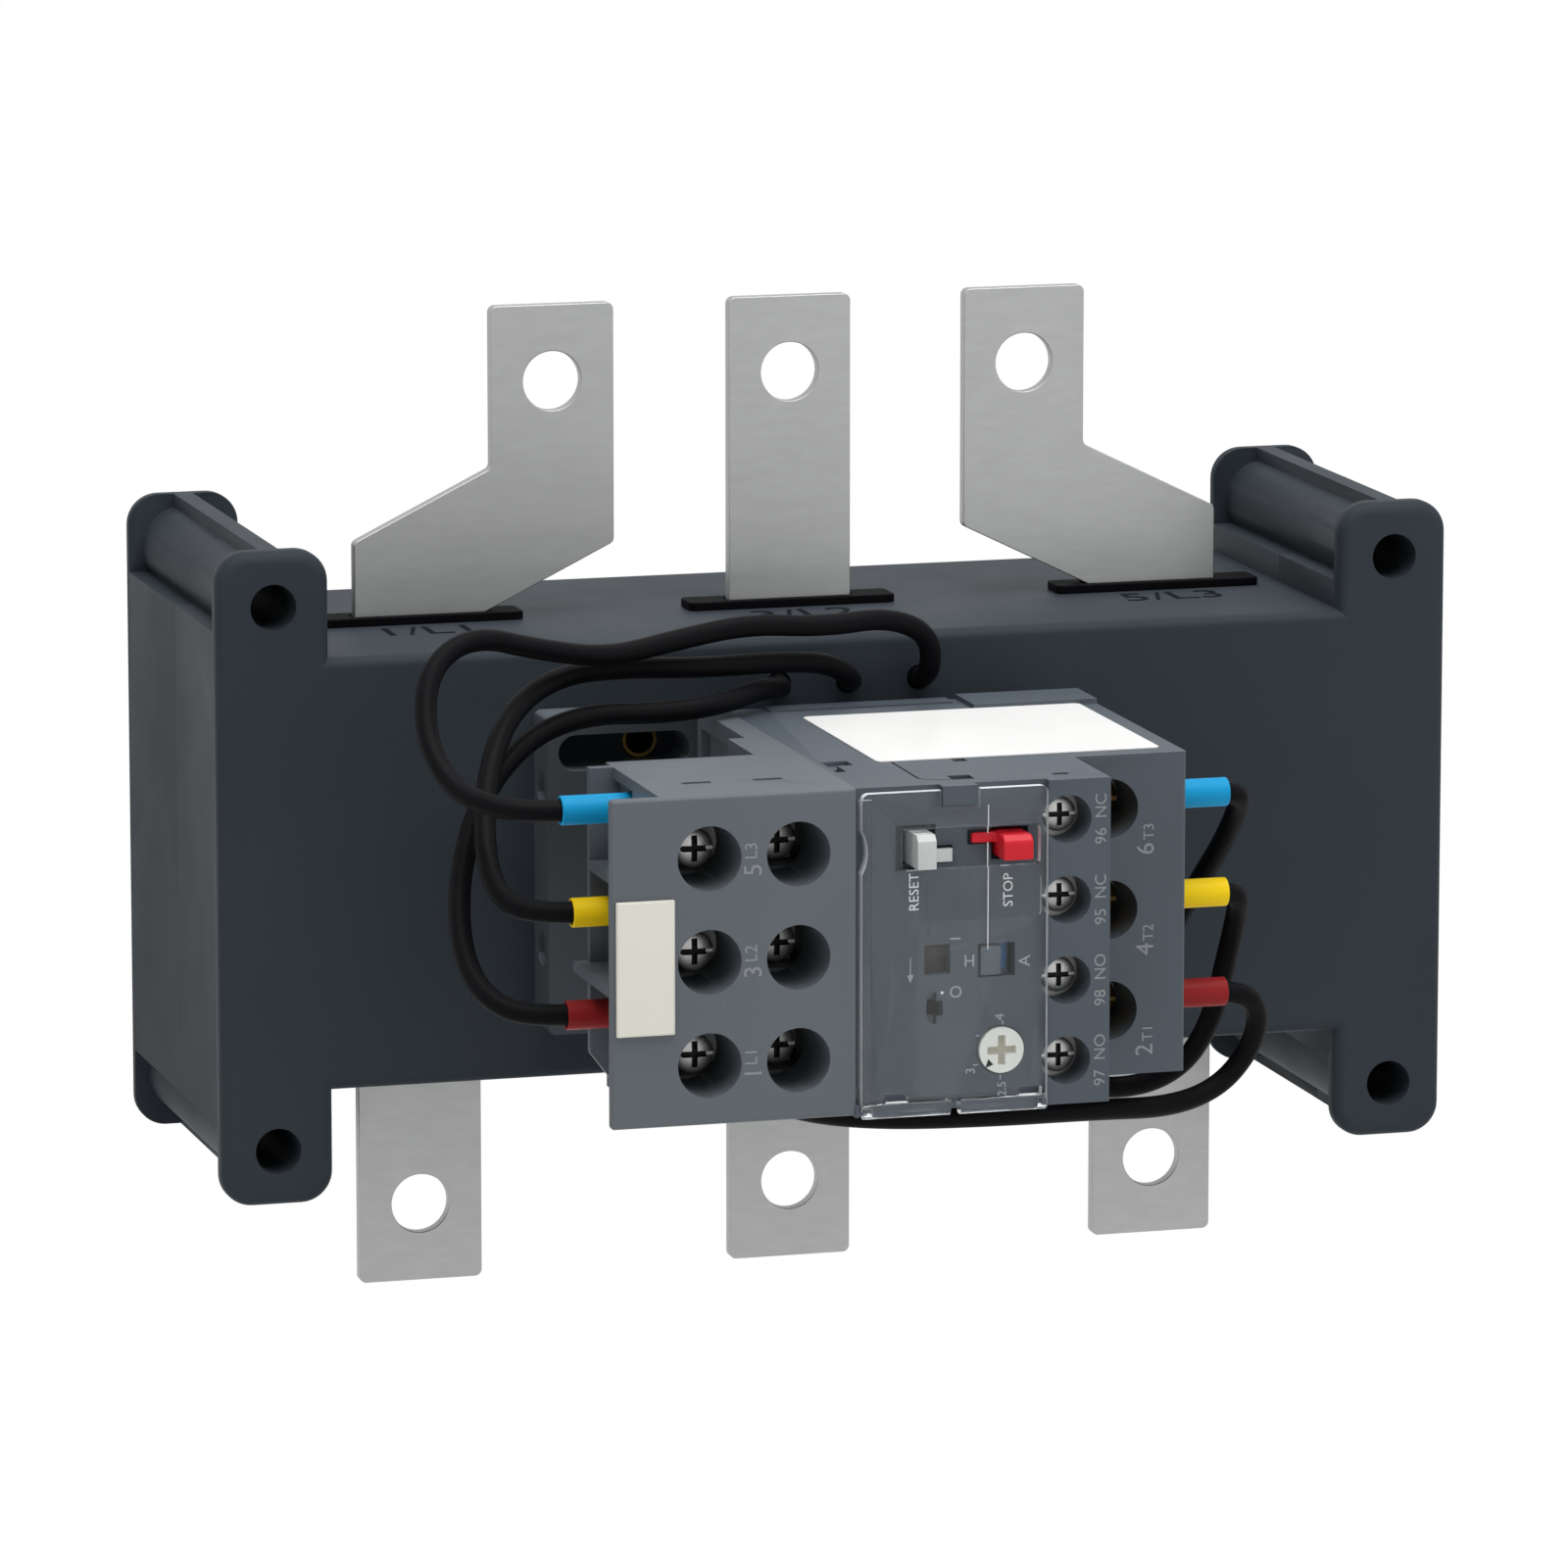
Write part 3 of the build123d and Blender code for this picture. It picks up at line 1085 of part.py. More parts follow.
# Screws and clamp plates of the control terminals
with BuildPart() as aux_screws:
    for z in aux_z:
        head_y = aux_front + aux_head_depth
        drill(aux_well_x, z, aux_head_radius, head_y, head_y + aux_head_height, Mode.ADD)
        drill(aux_well_x, z, aux_shank_radius, head_y + aux_head_height, aux_strip_front + strip_thin,
              Mode.ADD)
        slab(head_y, head_y + 0.9, aux_well_x - 1.9, aux_well_x + 1.9, z - 0.35, z + 0.35, Mode.SUBTRACT)
        slab(head_y, head_y + 0.9, aux_well_x - 0.35, aux_well_x + 0.35, z - 1.9, z + 1.9, Mode.SUBTRACT)
aux_screws.part.label = "aux_screws"
export_step(aux_screws.part, "parts/aux_screws.step")

with BuildPart() as aux_clamps:
    for z in aux_z:
        slab(well_end + 0.3, entry_front - 0.1, aux_well_x - aux_clamp_left, aux_well_x + aux_clamp_right,
             z - aux_half + clearance, z + aux_half - clearance)
        drill(aux_well_x, z, aux_shank_radius + 0.15, well_end, entry_front)
aux_clamps.part.label = "aux_clamps"
export_step(aux_clamps.part, "parts/aux_clamps.step")

# Screws, clamp plates and strips of the outgoing terminals
with BuildPart() as power_screws:
    for pole in poles:
        pan_screw(power_well_x, pole + power_rise, clamp_front - 0.1 - head_height, power_head_radius,
                  power_shank_radius, power_cavity_back - 0.5)
power_screws.part.label = "power_screws"
export_step(power_screws.part, "parts/power_screws.step")

with BuildPart() as power_clamps:
    for pole in poles:
        slab(clamp_front, clamp_front + plate_metal, power_well_x - power_clamp_left,
             power_well_x + power_clamp_right, pole - power_half + clearance,
             pole + power_half - clearance)
        drill(power_well_x, pole + power_rise, power_shank_radius + 0.15, clamp_front,
              clamp_front + plate_metal)
power_clamps.part.label = "power_clamps"
export_step(power_clamps.part, "parts/power_clamps.step")

with BuildPart() as power_terminals:
    for pole in poles:
        slab(power_strip_front, power_strip_front + strip_thickness, chamber_right - 3,
             terminal_right - clearance, pole - power_half + clearance, pole + power_half - clearance)
        drill(power_well_x, pole + power_rise, power_shank_radius + 0.15, power_strip_front,
              power_strip_front + strip_thickness)
power_terminals.part.label = "power_terminals"
export_step(power_terminals.part, "parts/power_terminals.step")

# Coloured ferrules at both ends of the leads
sleeve_names = ("sleeves_blue", "sleeves_yellow", "sleeves_red")
for name, pole, left_end in zip(sleeve_names, poles, left_sleeve_ends):
    with BuildPart() as sleeves:
        level = pole + entry_rise
        cross_bore(left_lead_y, level, sleeve_radius, left_end, post_left + 1.5, Mode.ADD)
        cross_bore(left_lead_y, level, ferrule_radius, post_left + 1.5, line_well_x + 2, Mode.ADD)
        cross_bore(right_lead_y, pole, sleeve_radius, terminal_right + 1, right_sleeve_end, Mode.ADD)
        cross_bore(right_lead_y, pole, ferrule_radius, power_well_x + power_shank_radius + 0.5,
                   terminal_right + 1, Mode.ADD)
        cross_bore(left_lead_y, level, lead_radius + thread_gap, left_end,
                   left_end + sleeve_hold + thread_gap)
        cross_bore(right_lead_y, pole, lead_radius + thread_gap, right_inner - thread_gap, right_sleeve_end)
    sleeves.part.label = name
    export_step(sleeves.part, f"parts/{name}.step")


def bend_radii(points):
    """Arc radius at each inner point: a share of the shorter run over the tangent of half the turn."""
    vectors = [Vector(*b) - Vector(*a) for a, b in zip(points, points[1:])]
    radii = []
    for first, second in zip(vectors, vectors[1:]):
        turn = first.get_angle(second)
        radii.append(bend_share * min(first.length, second.length) / tan(radians(turn / 2)))
    return radii


# Leads from the block to the terminals, each along its own route
for name, route in lead_routes.items():
    radii = bend_radii(route)
    print(name, "bend radii", [round(radius, 1) for radius in radii])
    with BuildPart() as lead:
        with BuildLine() as path:
            FilletPolyline(*route, radius=radii)
        with BuildSketch(Plane(origin=path.line @ 0, z_dir=path.line % 0)):
            Circle(lead_radius)
        sweep(path=path.line)
    run = sum(edge.length for edge in path.edges())
    print(name, "length", round(run, 1), "volume share",
          round(lead.part.volume / (run * pi * lead_radius ** 2), 4))
    lead.part.label = name
    export_step(lead.part, f"parts/{name}.step")
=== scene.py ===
"""Looks of a thermal overload relay on its current transformer block.

The file is laid out as an add-on and is run as a script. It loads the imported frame, then one
operator dresses each group of pieces. Lengths are in metres, X right, Z up, Y back into the panel.
"""
import json
import math

import bmesh
import bpy
from mathutils import Matrix, Vector


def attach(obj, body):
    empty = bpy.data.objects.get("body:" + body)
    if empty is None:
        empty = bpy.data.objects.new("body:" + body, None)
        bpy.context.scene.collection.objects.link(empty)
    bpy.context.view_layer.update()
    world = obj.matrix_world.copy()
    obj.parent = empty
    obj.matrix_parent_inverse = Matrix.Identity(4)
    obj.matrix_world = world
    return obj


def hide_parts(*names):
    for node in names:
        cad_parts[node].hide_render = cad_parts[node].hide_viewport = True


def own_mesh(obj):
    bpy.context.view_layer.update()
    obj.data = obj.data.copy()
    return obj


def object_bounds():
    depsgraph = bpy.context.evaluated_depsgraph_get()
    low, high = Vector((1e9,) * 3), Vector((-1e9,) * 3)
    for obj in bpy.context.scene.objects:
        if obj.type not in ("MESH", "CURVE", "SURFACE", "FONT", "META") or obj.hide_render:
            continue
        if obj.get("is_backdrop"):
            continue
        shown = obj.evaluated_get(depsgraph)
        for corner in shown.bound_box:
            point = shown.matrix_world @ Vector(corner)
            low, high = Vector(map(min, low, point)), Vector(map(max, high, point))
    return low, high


bl_info = {
    "name": "Overload Relay Dresser",
    "version": (1, 0, 0),
    "blender": (4, 5, 0),
    "location": "3D View > Sidebar > Relay",
    "description": "Dresses the packed overload relay with finishes, leads, screws and markings",
    "category": "Object",
}

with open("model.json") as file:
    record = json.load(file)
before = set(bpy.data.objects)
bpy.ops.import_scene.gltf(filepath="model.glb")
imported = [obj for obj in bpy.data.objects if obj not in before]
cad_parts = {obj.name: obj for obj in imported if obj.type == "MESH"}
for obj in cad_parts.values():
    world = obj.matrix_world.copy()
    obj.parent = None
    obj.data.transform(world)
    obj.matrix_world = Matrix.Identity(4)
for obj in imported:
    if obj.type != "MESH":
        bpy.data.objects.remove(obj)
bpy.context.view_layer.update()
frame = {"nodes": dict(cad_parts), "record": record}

MM = 0.001
FRONT = Vector((0, -1, 0))
TOP = Vector((0, 0, 1))
RIGHT = Vector((1, 0, 0))

# The camera solved from the photograph: place in millimetres, turn in degrees, lens in millimetres
CAMERA_PLACE = (-377.56, -1336.52, 252.44)
CAMERA_DOWN = 10.340
CAMERA_RIGHT = 16.119
CAMERA_LENS = 220.488

LEAD_RADIUS = 1.5

# Each lead: its length along the bends and the points of its route, in millimetres
LEAD_ROUTES = {
    "lead_line_blue": (137.6, [
        (11.2, -57.4, 24.3), (11.2, -64.6, 24.3), (11.0, -66.6, 31.4), (4.2, -68.4, 34.6),
        (-6.0, -70.6, 34.0), (-17.5, -72.6, 35.2), (-28.5, -76.4, 34.2), (-40.0, -81.8, 33.0),
        (-51.0, -86.6, 35.4), (-61.5, -90.6, 38.6), (-68.6, -94.4, 35.0), (-70.6, -99.6, 26.8),
        (-68.6, -106.2, 20.6), (-64.4, -112.2, 18.8), (-59.2, -115.0, 18.4),
        (-52.8, -115.0, 18.4)]),
    "lead_line_yellow": (115.5, [
        (0.8, -57.4, 24.3), (0.8, -64.4, 24.3), (-3.4, -67.0, 28.2), (-12.6, -69.6, 29.2),
        (-24.0, -73.0, 29.4), (-36.0, -76.4, 30.6), (-47.0, -81.2, 30.9), (-56.0, -88.6, 27.4),
        (-61.4, -97.0, 19.6), (-63.8, -105.6, 10.4), (-62.8, -111.4, 5.4), (-57.6, -115.0, 4.4),
        (-51.3, -115.0, 4.4)]),
    "lead_line_red": (114.8, [
        (-9.4, -57.4, 24.3), (-9.4, -63.8, 24.3), (-14.2, -69.4, 25.6), (-22.6, -77.4, 24.9),
        (-32.4, -80.0, 24.6), (-43.4, -82.0, 25.4), (-53.0, -86.0, 23.0), (-61.4, -93.0, 16.2),
        (-66.4, -100.6, 5.8), (-67.2, -107.4, -3.6), (-64.2, -112.6, -8.4), (-58.4, -115.0, -9.6),
        (-52.1, -115.0, -9.6)]),
    "lead_load_blue": (89.1, [
        (38.7, -105.0, 14.3), (43.7, -105.0, 14.3), (44.9, -100.8, 11.2), (44.6, -95.6, 5.6),
        (43.0, -89.4, -1.4), (39.8, -84.6, -10.0), (37.4, -81.6, -20.0), (30.0, -79.6, -27.4),
        (20.0, -74.4, -27.0), (12.8, -66.9, -24.7), (11.2, -62.6, -24.3), (11.2, -57.4, -24.3)]),
    "lead_load_yellow": (94.8, [
        (38.7, -105.0, 0.3), (43.7, -105.0, 0.3), (44.8, -101.0, -3.6), (44.6, -96.8, -11.2),
        (43.8, -93.6, -20.0), (40.6, -90.4, -27.4), (33.0, -88.8, -30.6), (21.6, -86.0, -29.2),
        (9.4, -79.0, -26.8), (1.8, -69.6, -24.7), (0.8, -63.4, -24.3), (0.8, -57.4, -24.3)]),
    "lead_load_red": (138.6, [
        (38.7, -105.0, -13.7), (44.4, -105.0, -13.7), (47.8, -102.4, -17.6), (47.2, -99.8, -23.4),
        (43.0, -99.0, -28.6), (35.0, -101.6, -30.4), (22.4, -106.4, -29.0), (6.0, -110.0, -28.2),
        (-9.6, -110.4, -27.6), (-19.0, -104.6, -27.2), (-22.4, -93.0, -26.8),
        (-17.4, -80.4, -25.8), (-10.6, -69.8, -24.6), (-9.4, -63.6, -24.3), (-9.4, -57.4, -24.3)]),
}

# Width of the rounded edges of the moulded and stamped pieces, in metres
EDGE_WIDTHS = {
    "front_housing": 0.0004, "rear_housing": 0.0004, "bar_collars": 0.0002,
    "adapter_base": 0.0003, "adapter_terminal_block": 0.0004, "marker_plate": 0.00015,
    "relay_case": 0.0003, "relay_front": 0.00022, "clear_cover": 0.00055,
    "busbar_l1": 0.00015, "busbar_l2": 0.00015, "busbar_l3": 0.00015,
    "reset_button": 0.0003, "stop_button": 0.0003, "selector_slider": 0.00015,
    "setting_dial": 0.0002, "sleeves_blue": 0.0002, "sleeves_yellow": 0.0002,
    "sleeves_red": 0.0002, "rating_label": 0.00005,
}
EDGE_ANGLE = math.radians(34)
EDGE_SEGMENTS = 2
WELD_GAP = 1e-6                     # corners of the CAD mesh closer than this are one, in metres
FLAT_ANGLE = math.radians(0.6)      # triangles that turn less than this join into one face

# Faces with a material of their own: painted shade on the adapter's plate, and a painted highlight
# on the cover's rim
PLATE_FRONT = -69       # place of the plate's front in millimetres
PLATE_TOP = 0.5         # faces of the plate that look upwards more than this keep their finish
RIM_HEIGHT = 1.5        # height of the rim at the cover's top in millimetres
RIM_WIDTH = 1.2         # width of the rim at its sides in millimetres
RIM_TURN = 0.3          # least that a face of the rim looks outwards

# Columns of alike screws in millimetres: CAD node, place of the top one, count, pitch, the setting
# that holds the head's radius, head height, shank radius, shank length, material slot
SCREW_COLUMNS = [
    ("adapter_line_screws", (-40.0, -125.5, 14.3), 3, 14.0,
     "line_radius", 2.6, 1.75, 13.9, "zinc_steel"),
    ("adapter_relay_screws", (-27.7, -122.5, 14.3), 3, 14.0,
     "line_radius", 2.6, 1.75, 10.9, "zinc_steel"),
    ("power_screws", (21.0, -109.7, 15.0), 3, 14.0,
     "power_radius", 2.6, 2.0, 8.6, "brass"),
    ("aux_screws", (10.0, -128.7, 17.0), 4, 11.0,
     "control_radius", 1.8, 1.25, 7.6, "zinc_steel"),
]
SCREW_SHARP = math.radians(30)

# Form of a screw's head. The cutters of the cross and the slot lie half above it
CROWN = 0.28            # half height of the domed crown over the head's height
COLLAR_HEIGHT = 0.66    # height of the collar under it over the head's height
COLLAR_MIDDLE = -0.67   # place of the collar's middle over the head's height
COLLAR_RADIUS = 0.86    # radius of the collar over the head's radius
CROSS_HEIGHT = 0.9      # height of the cross's cutter over the head's height
CROSS_REACH = 1.3       # length of the cross's arms over the head's radius
SECOND_ARM = 0.96       # height of the second arm's cutter over the first one's
SLOT_HEIGHT = 0.62      # height of the slot's cutter over the head's height
SLOT_REACH = 2.4        # length of the slot over the head's radius
SLOT_WIDTH = 0.6        # width of the slot over the cross's width

# Faces of the cross recesses that get painted shade: their walls, and their floor
RECESS_REACH = 0.68     # furthest from the screw's axis over the head's radius
RECESS_FROM = 0.02      # least depth over the head's height
RECESS_TO = 0.5         # most depth over the head's height
RECESS_FLOOR = 0.3      # depth over the head's height from which the floor counts too
RECESS_WALL = 0.2       # most that a wall's normal leans forwards

# Places of the marked faces in millimetres: along Y, and along Z for the block's top
ADAPTER_FACE = -133.0
CONTROL_FACE = -132.5
POWER_FACE = -116.6
RELAY_FACE = -131.2
DIAL_SLOT_FLOOR = -131.0
BLOCK_TOP = 30.9

MARK_DEPTH = 0.03       # thickness of the marks that aren't words, in millimetres
CAPITAL_SHARE = 0.7     # height of a capital over the font's size

# Printed words: text, letter height, place (x, depth, z) in millimetres, turned to read upwards
FRONT_WORDS = [
    ("5", 2.5, (-33.9, ADAPTER_FACE, 12.5), True), ("L3", 1.7, (-34.2, ADAPTER_FACE, 15.1), True),
    ("3", 2.5, (-33.9, ADAPTER_FACE, -1.3), True), ("L2", 1.7, (-34.2, ADAPTER_FACE, 1.2), True),
    ("1", 2.5, (-33.9, ADAPTER_FACE, -15.1), True),
    ("L1", 1.7, (-34.2, ADAPTER_FACE, -12.8), True),
    ("96  NC", 1.6, (14.7, CONTROL_FACE, 16.8), True),
    ("95  NC", 1.6, (14.7, CONTROL_FACE, 5.8), True),
    ("98  NO", 1.6, (14.7, CONTROL_FACE, -5.2), True),
    ("97  NO", 1.6, (14.7, CONTROL_FACE, -16.2), True),
    ("6", 2.5, (26.3, POWER_FACE, 9.2), True), ("T3", 1.5, (26.7, POWER_FACE, 11.6), True),
    ("4", 2.5, (26.3, POWER_FACE, -4.7), True), ("T2", 1.5, (26.7, POWER_FACE, -2.4), True),
    ("2", 2.5, (26.3, POWER_FACE, -18.7), True), ("T1", 1.5, (26.7, POWER_FACE, -16.4), True),
]
FACE_WORDS = [
    ("RESET", 1.35, (-11.2, RELAY_FACE, 8.0), True), ("STOP", 1.35, (2.0, RELAY_FACE, 7.6), True),
]
DIAL_WORDS = [
    ("H", 1.6, (-3.4, RELAY_FACE, -1.9), False), ("A", 1.6, (4.4, RELAY_FACE, -2.2), True),
    ("I", 1.5, (-5.3, RELAY_FACE, 1.3), True), ("O", 1.6, (-5.3, RELAY_FACE, -6.0), False),
    ("2.5", 1.2, (1.2, RELAY_FACE, -19.6), True), ("3", 1.3, (-3.2, RELAY_FACE, -16.9), True),
    ("4", 1.3, (0.9, RELAY_FACE, -9.7), True),
]
BLOCK_WORDS = [
    ("1/L1", (-55.2, -40.6, BLOCK_TOP)), ("3/L2", (0.0, -40.6, BLOCK_TOP)),
    ("5/L3", (55.2, -40.6, BLOCK_TOP)),
]

# Marks by their corners (x, z) in millimetres: a dot on the relay's face, an arrow's shaft with
# the dial's ticks, the heads of that arrow and of the dial's own, and painted shade on the floor
# of the dial's cross slot
FACE_LINES = [((-7.4, -6.1), (-7.05, -5.75))]
DIAL_LINES = [
    ((-11.8, -3.4), (-11.65, -0.9)), ((1.2, -10.8), (1.36, -10.2)),
    ((0.85, -18.3), (1.01, -17.6)), ((-2.9, -16.2), (-2.2, -16.04)),
    ((-2.5, -12.2), (-2.0, -12.04)),
]
FACE_ARROW = ((-12.2, -3.3), (-11.25, -3.3), (-11.72, -4.4))
DIAL_ARROW = ((-0.9, -15.3), (-0.2, -16.1), (-1.3, -16.5))
DIAL_SLOT_SHADES = [((-0.95, -14.65), (2.95, -13.75)), ((0.55, -16.15), (1.45, -12.25))]

# A painted highlight along the crease on the back of the clear cover, a pale bar from corner to
# corner in millimetres
COVER_CREASE_HIGHLIGHT = ((-1.2, -132.1, -0.2), (-1.07, -132.07, 19.5))

# The floor's half width and its gap under the object, in metres
FLOOR_REACH = 1.5
FLOOR_GAP = 0.0006

# The lamps: name, place in millimetres, width in metres, the setting that holds its power
LAMPS = (
    ("key", (20, -300, 850), 0.9, "key_power"),
    ("fill", (-900, -400, 150), 0.8, "fill_power"),
    ("front", (500, -1200, 200), 0.8, "front_power"),
)
LAMP_TARGET = (0, -60, 0)

# Scales of the slow changes of tone and sheen, and the span of the pattern that the tone follows
TONE_SCALE = 30.0
SHEEN_SCALE = 120.0
METAL_SHEEN_SCALE = 160.0
TONE_SPAN = (0.32, 0.68)


class RelayFinishes(bpy.types.PropertyGroup):
    """Colours and surface sizes of the finishes."""

    block_colour: bpy.props.FloatVectorProperty(
        name="Block", description="Colour of the transformer block's plastic", subtype="COLOR",
        size=3, min=0, max=1, default=(0.031, 0.0385, 0.047))
    adapter_colour: bpy.props.FloatVectorProperty(
        name="Adapter", description="Colour of the adapter's plastic", subtype="COLOR",
        size=3, min=0, max=1, default=(0.108, 0.123, 0.139))
    casing_colour: bpy.props.FloatVectorProperty(
        name="Casing", description="Colour of the relay's plastic", subtype="COLOR",
        size=3, min=0, max=1, default=(0.057, 0.072, 0.089))
    bar_colour: bpy.props.FloatVectorProperty(
        name="Bars", description="Colour of the tinned bars", subtype="COLOR",
        size=3, min=0, max=1, default=(0.370, 0.377, 0.372))
    print_colour: bpy.props.FloatVectorProperty(
        name="Print", description="Colour of the printed words", subtype="COLOR",
        size=3, min=0, max=1, default=(0.235, 0.25, 0.26))
    grain: bpy.props.FloatProperty(
        name="Grain", description="Size of the moulded grain", subtype="DISTANCE",
        min=0.0001, max=0.005, default=0.0006)


class RelayScrewSizes(bpy.types.PropertyGroup):
    """Sizes of the screw heads in the terminals."""

    line_radius: bpy.props.FloatProperty(
        name="Adapter head", description="Radius of the adapter's screw heads", subtype="DISTANCE",
        min=0.001, max=0.006, default=0.00275)
    power_radius: bpy.props.FloatProperty(
        name="Power head", description="Radius of the outgoing terminals' screw heads",
        subtype="DISTANCE", min=0.001, max=0.006, default=0.0036)
    control_radius: bpy.props.FloatProperty(
        name="Control head", description="Radius of the control terminals' screw heads",
        subtype="DISTANCE", min=0.001, max=0.006, default=0.0024)
    cross_width: bpy.props.FloatProperty(
        name="Cross width", description="Width of the cross recess over the head's radius",
        subtype="FACTOR", min=0.1, max=0.6, default=0.3)


class RelayMarkings(bpy.types.PropertyGroup):
    """Sizes of the printed and moulded words."""

    print_depth: bpy.props.FloatProperty(
        name="Print thickness", description="Thickness of the printed words", subtype="DISTANCE",
        min=0.00001, max=0.0005, default=0.00003)
    moulded_height: bpy.props.FloatProperty(
        name="Moulded letter", description="Height of the letters moulded on the block",
        subtype="DISTANCE", min=0.001, max=0.02, default=0.0062)


class RelayStageLight(bpy.types.PropertyGroup):
    """Strength of the lamps and the backdrop."""

    key_power: bpy.props.FloatProperty(
        name="Key lamp", description="Power of the large lamp above", subtype="POWER",
        min=0, max=200, default=10.0)
    fill_power: bpy.props.FloatProperty(
        name="Fill lamp", description="Power of the lamp at the left", subtype="POWER",
        min=0, max=200, default=0.25)
    front_power: bpy.props.FloatProperty(
        name="Front lamp", description="Power of the lamp at the front right", subtype="POWER",
        min=0, max=200, default=1.7)
    sky: bpy.props.FloatProperty(
        name="Sky", description="Strength of the even light from all round", min=0, max=4,
        default=0.26)


def point(place):
    """A place in millimetres as a vector in metres."""
    return Vector(place) * MM


def assign(piece, finish):
    """Give a piece one finish all over."""
    piece.data.materials.clear()
    piece.data.materials.append(finish)


def add_mesh(name, mesh):
    """Link a mesh as a new object at the origin."""
    piece = bpy.data.objects.new(name, mesh)
    bpy.context.scene.collection.objects.link(piece)
    return piece


def smooth(mesh, angle):
    """Shade a mesh smooth, apart from edges sharper than the angle."""
    for polygon in mesh.polygons:
        polygon.use_smooth = True
    mesh.set_sharp_from_angle(angle=angle)


def settle(name, source):
    """Turn an object with live modifiers or a curve into a plain mesh piece."""
    depsgraph = bpy.context.evaluated_depsgraph_get()
    mesh = bpy.data.meshes.new_from_object(source.evaluated_get(depsgraph))
    data = source.data
    kind = source.type
    bpy.data.objects.remove(source)
    if kind == "MESH":
        bpy.data.meshes.remove(data)
    else:
        bpy.data.curves.remove(data)
    mesh.name = name
    return add_mesh(name, mesh)


def place(piece, body, finish, slot, *nodes):
    """Finish a new piece, fix it to its body and let it stand for its CAD nodes."""
    assign(piece, finish)
    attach(piece, body)
    if nodes:
        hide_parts(*nodes)
    return piece


def softened(node, name, width):
    """A copy of a CAD node with its loose triangles merged and its edges rounded."""
    mesh = frame["nodes"][node].data.copy()
    form = bmesh.new()
    form.from_mesh(mesh)
    bmesh.ops.remove_doubles(form, verts=form.verts, dist=WELD_GAP)
    bmesh.ops.dissolve_limit(form, angle_limit=FLAT_ANGLE, verts=form.verts, edges=form.edges)
    form.to_mesh(mesh)
    form.free()
    smooth(mesh, EDGE_ANGLE)
    rough = add_mesh(name + "_rough", mesh)
    bevel = rough.modifiers.new("edges", "BEVEL")
    bevel.width = width
    bevel.segments = EDGE_SEGMENTS
    bevel.limit_method = "ANGLE"
    bevel.angle_limit = EDGE_ANGLE
    bevel.use_clamp_overlap = True
    bevel.harden_normals = True
    bevel.miter_outer = "MITER_ARC"
    return settle(name, rough)


def shader(name):
    """A new node material with its principled shader."""
    finish = bpy.data.materials.new(name)
    finish.use_nodes = True
    return finish, finish.node_tree, finish.node_tree.nodes["Principled BSDF"]


def noise(tree, scale, detail=2.0, stretch=(1, 1, 1)):
    """A noise texture on the object's own coordinates."""
    coordinates = tree.nodes.new("ShaderNodeTexCoord")
    mapping = tree.nodes.new("ShaderNodeMapping")
    mapping.inputs["Scale"].default_value = stretch
    pattern = tree.nodes.new("ShaderNodeTexNoise")
    pattern.inputs["Scale"].default_value = scale
    pattern.inputs["Detail"].default_value = detail
    tree.links.new(coordinates.outputs["Object"], mapping.inputs["Vector"])
    tree.links.new(mapping.outputs["Vector"], pattern.inputs["Vector"])
    return pattern.outputs["Fac"]


def tint(tree, bsdf, pattern, colour, vary):
    """Run the base colour a share darker and lighter with a pattern."""
    ramp = tree.nodes.new("ShaderNodeValToRGB")
    shares = (1 - vary, 1 + vary)
    for stop, position, share in zip(ramp.color_ramp.elements, TONE_SPAN, shares):
        stop.position = position
        stop.color = (*(min(1, channel * share) for channel in colour), 1)
    tree.links.new(pattern, ramp.inputs["Fac"])
    tree.links.new(ramp.outputs["Color"], bsdf.inputs["Base Color"])


def relief(tree, bsdf, pattern, distance):
    """Raise the surface with a pattern."""
    bump = tree.nodes.new("ShaderNodeBump")
    bump.inputs["Distance"].default_value = distance
    tree.links.new(pattern, bump.inputs["Height"])
    tree.links.new(bump.outputs["Normal"], bsdf.inputs["Normal"])


def spread(tree, bsdf, pattern, low, high):
    """Vary the roughness between two values with a pattern."""
    scale = tree.nodes.new("ShaderNodeMapRange")
    scale.inputs["To Min"].default_value = low
    scale.inputs["To Max"].default_value = high
    tree.links.new(pattern, scale.inputs["Value"])
    tree.links.new(scale.outputs["Result"], bsdf.inputs["Roughness"])


def moulded(name, colour, grain, rough=(0.42, 0.54), depth=0.00002, vary=0.05, shine=0.25):
    """Moulded plastic with a fine grain and a slight change of tone."""
    finish, tree, bsdf = shader(name)
    tint(tree, bsdf, noise(tree, TONE_SCALE, 3.0), colour, vary)
    relief(tree, bsdf, noise(tree, 1 / grain), depth)
    spread(tree, bsdf, noise(tree, SHEEN_SCALE), *rough)
    bsdf.inputs["Specular IOR Level"].default_value = shine
    return finish


def metal(name, colour, stretch, rough=(0.28, 0.42), depth=0.000006, vary=0.06, scale=900.0):
    """Metal whose fine marks run along one axis."""
    finish, tree, bsdf = shader(name)
    marks = noise(tree, scale, 3.0, stretch)
    tint(tree, bsdf, marks, colour, vary)
    relief(tree, bsdf, marks, depth)
    spread(tree, bsdf, noise(tree, METAL_SHEEN_SCALE), *rough)
    bsdf.inputs["Metallic"].default_value = 1.0
    return finish


def glossy(name, colour, rough=(0.2, 0.3), shine=0.22):
    """Smooth plastic, such as a button or a ferrule."""
    return moulded(name, colour, 0.0012, rough, 0.000008, 0.04, shine)


def flat(name, colour, rough=(0.5, 0.6), vary=0.02):
    """A finish with hardly any relief, such as printing ink."""
    return moulded(name, colour, 0.0008, rough, 0.000004, vary)


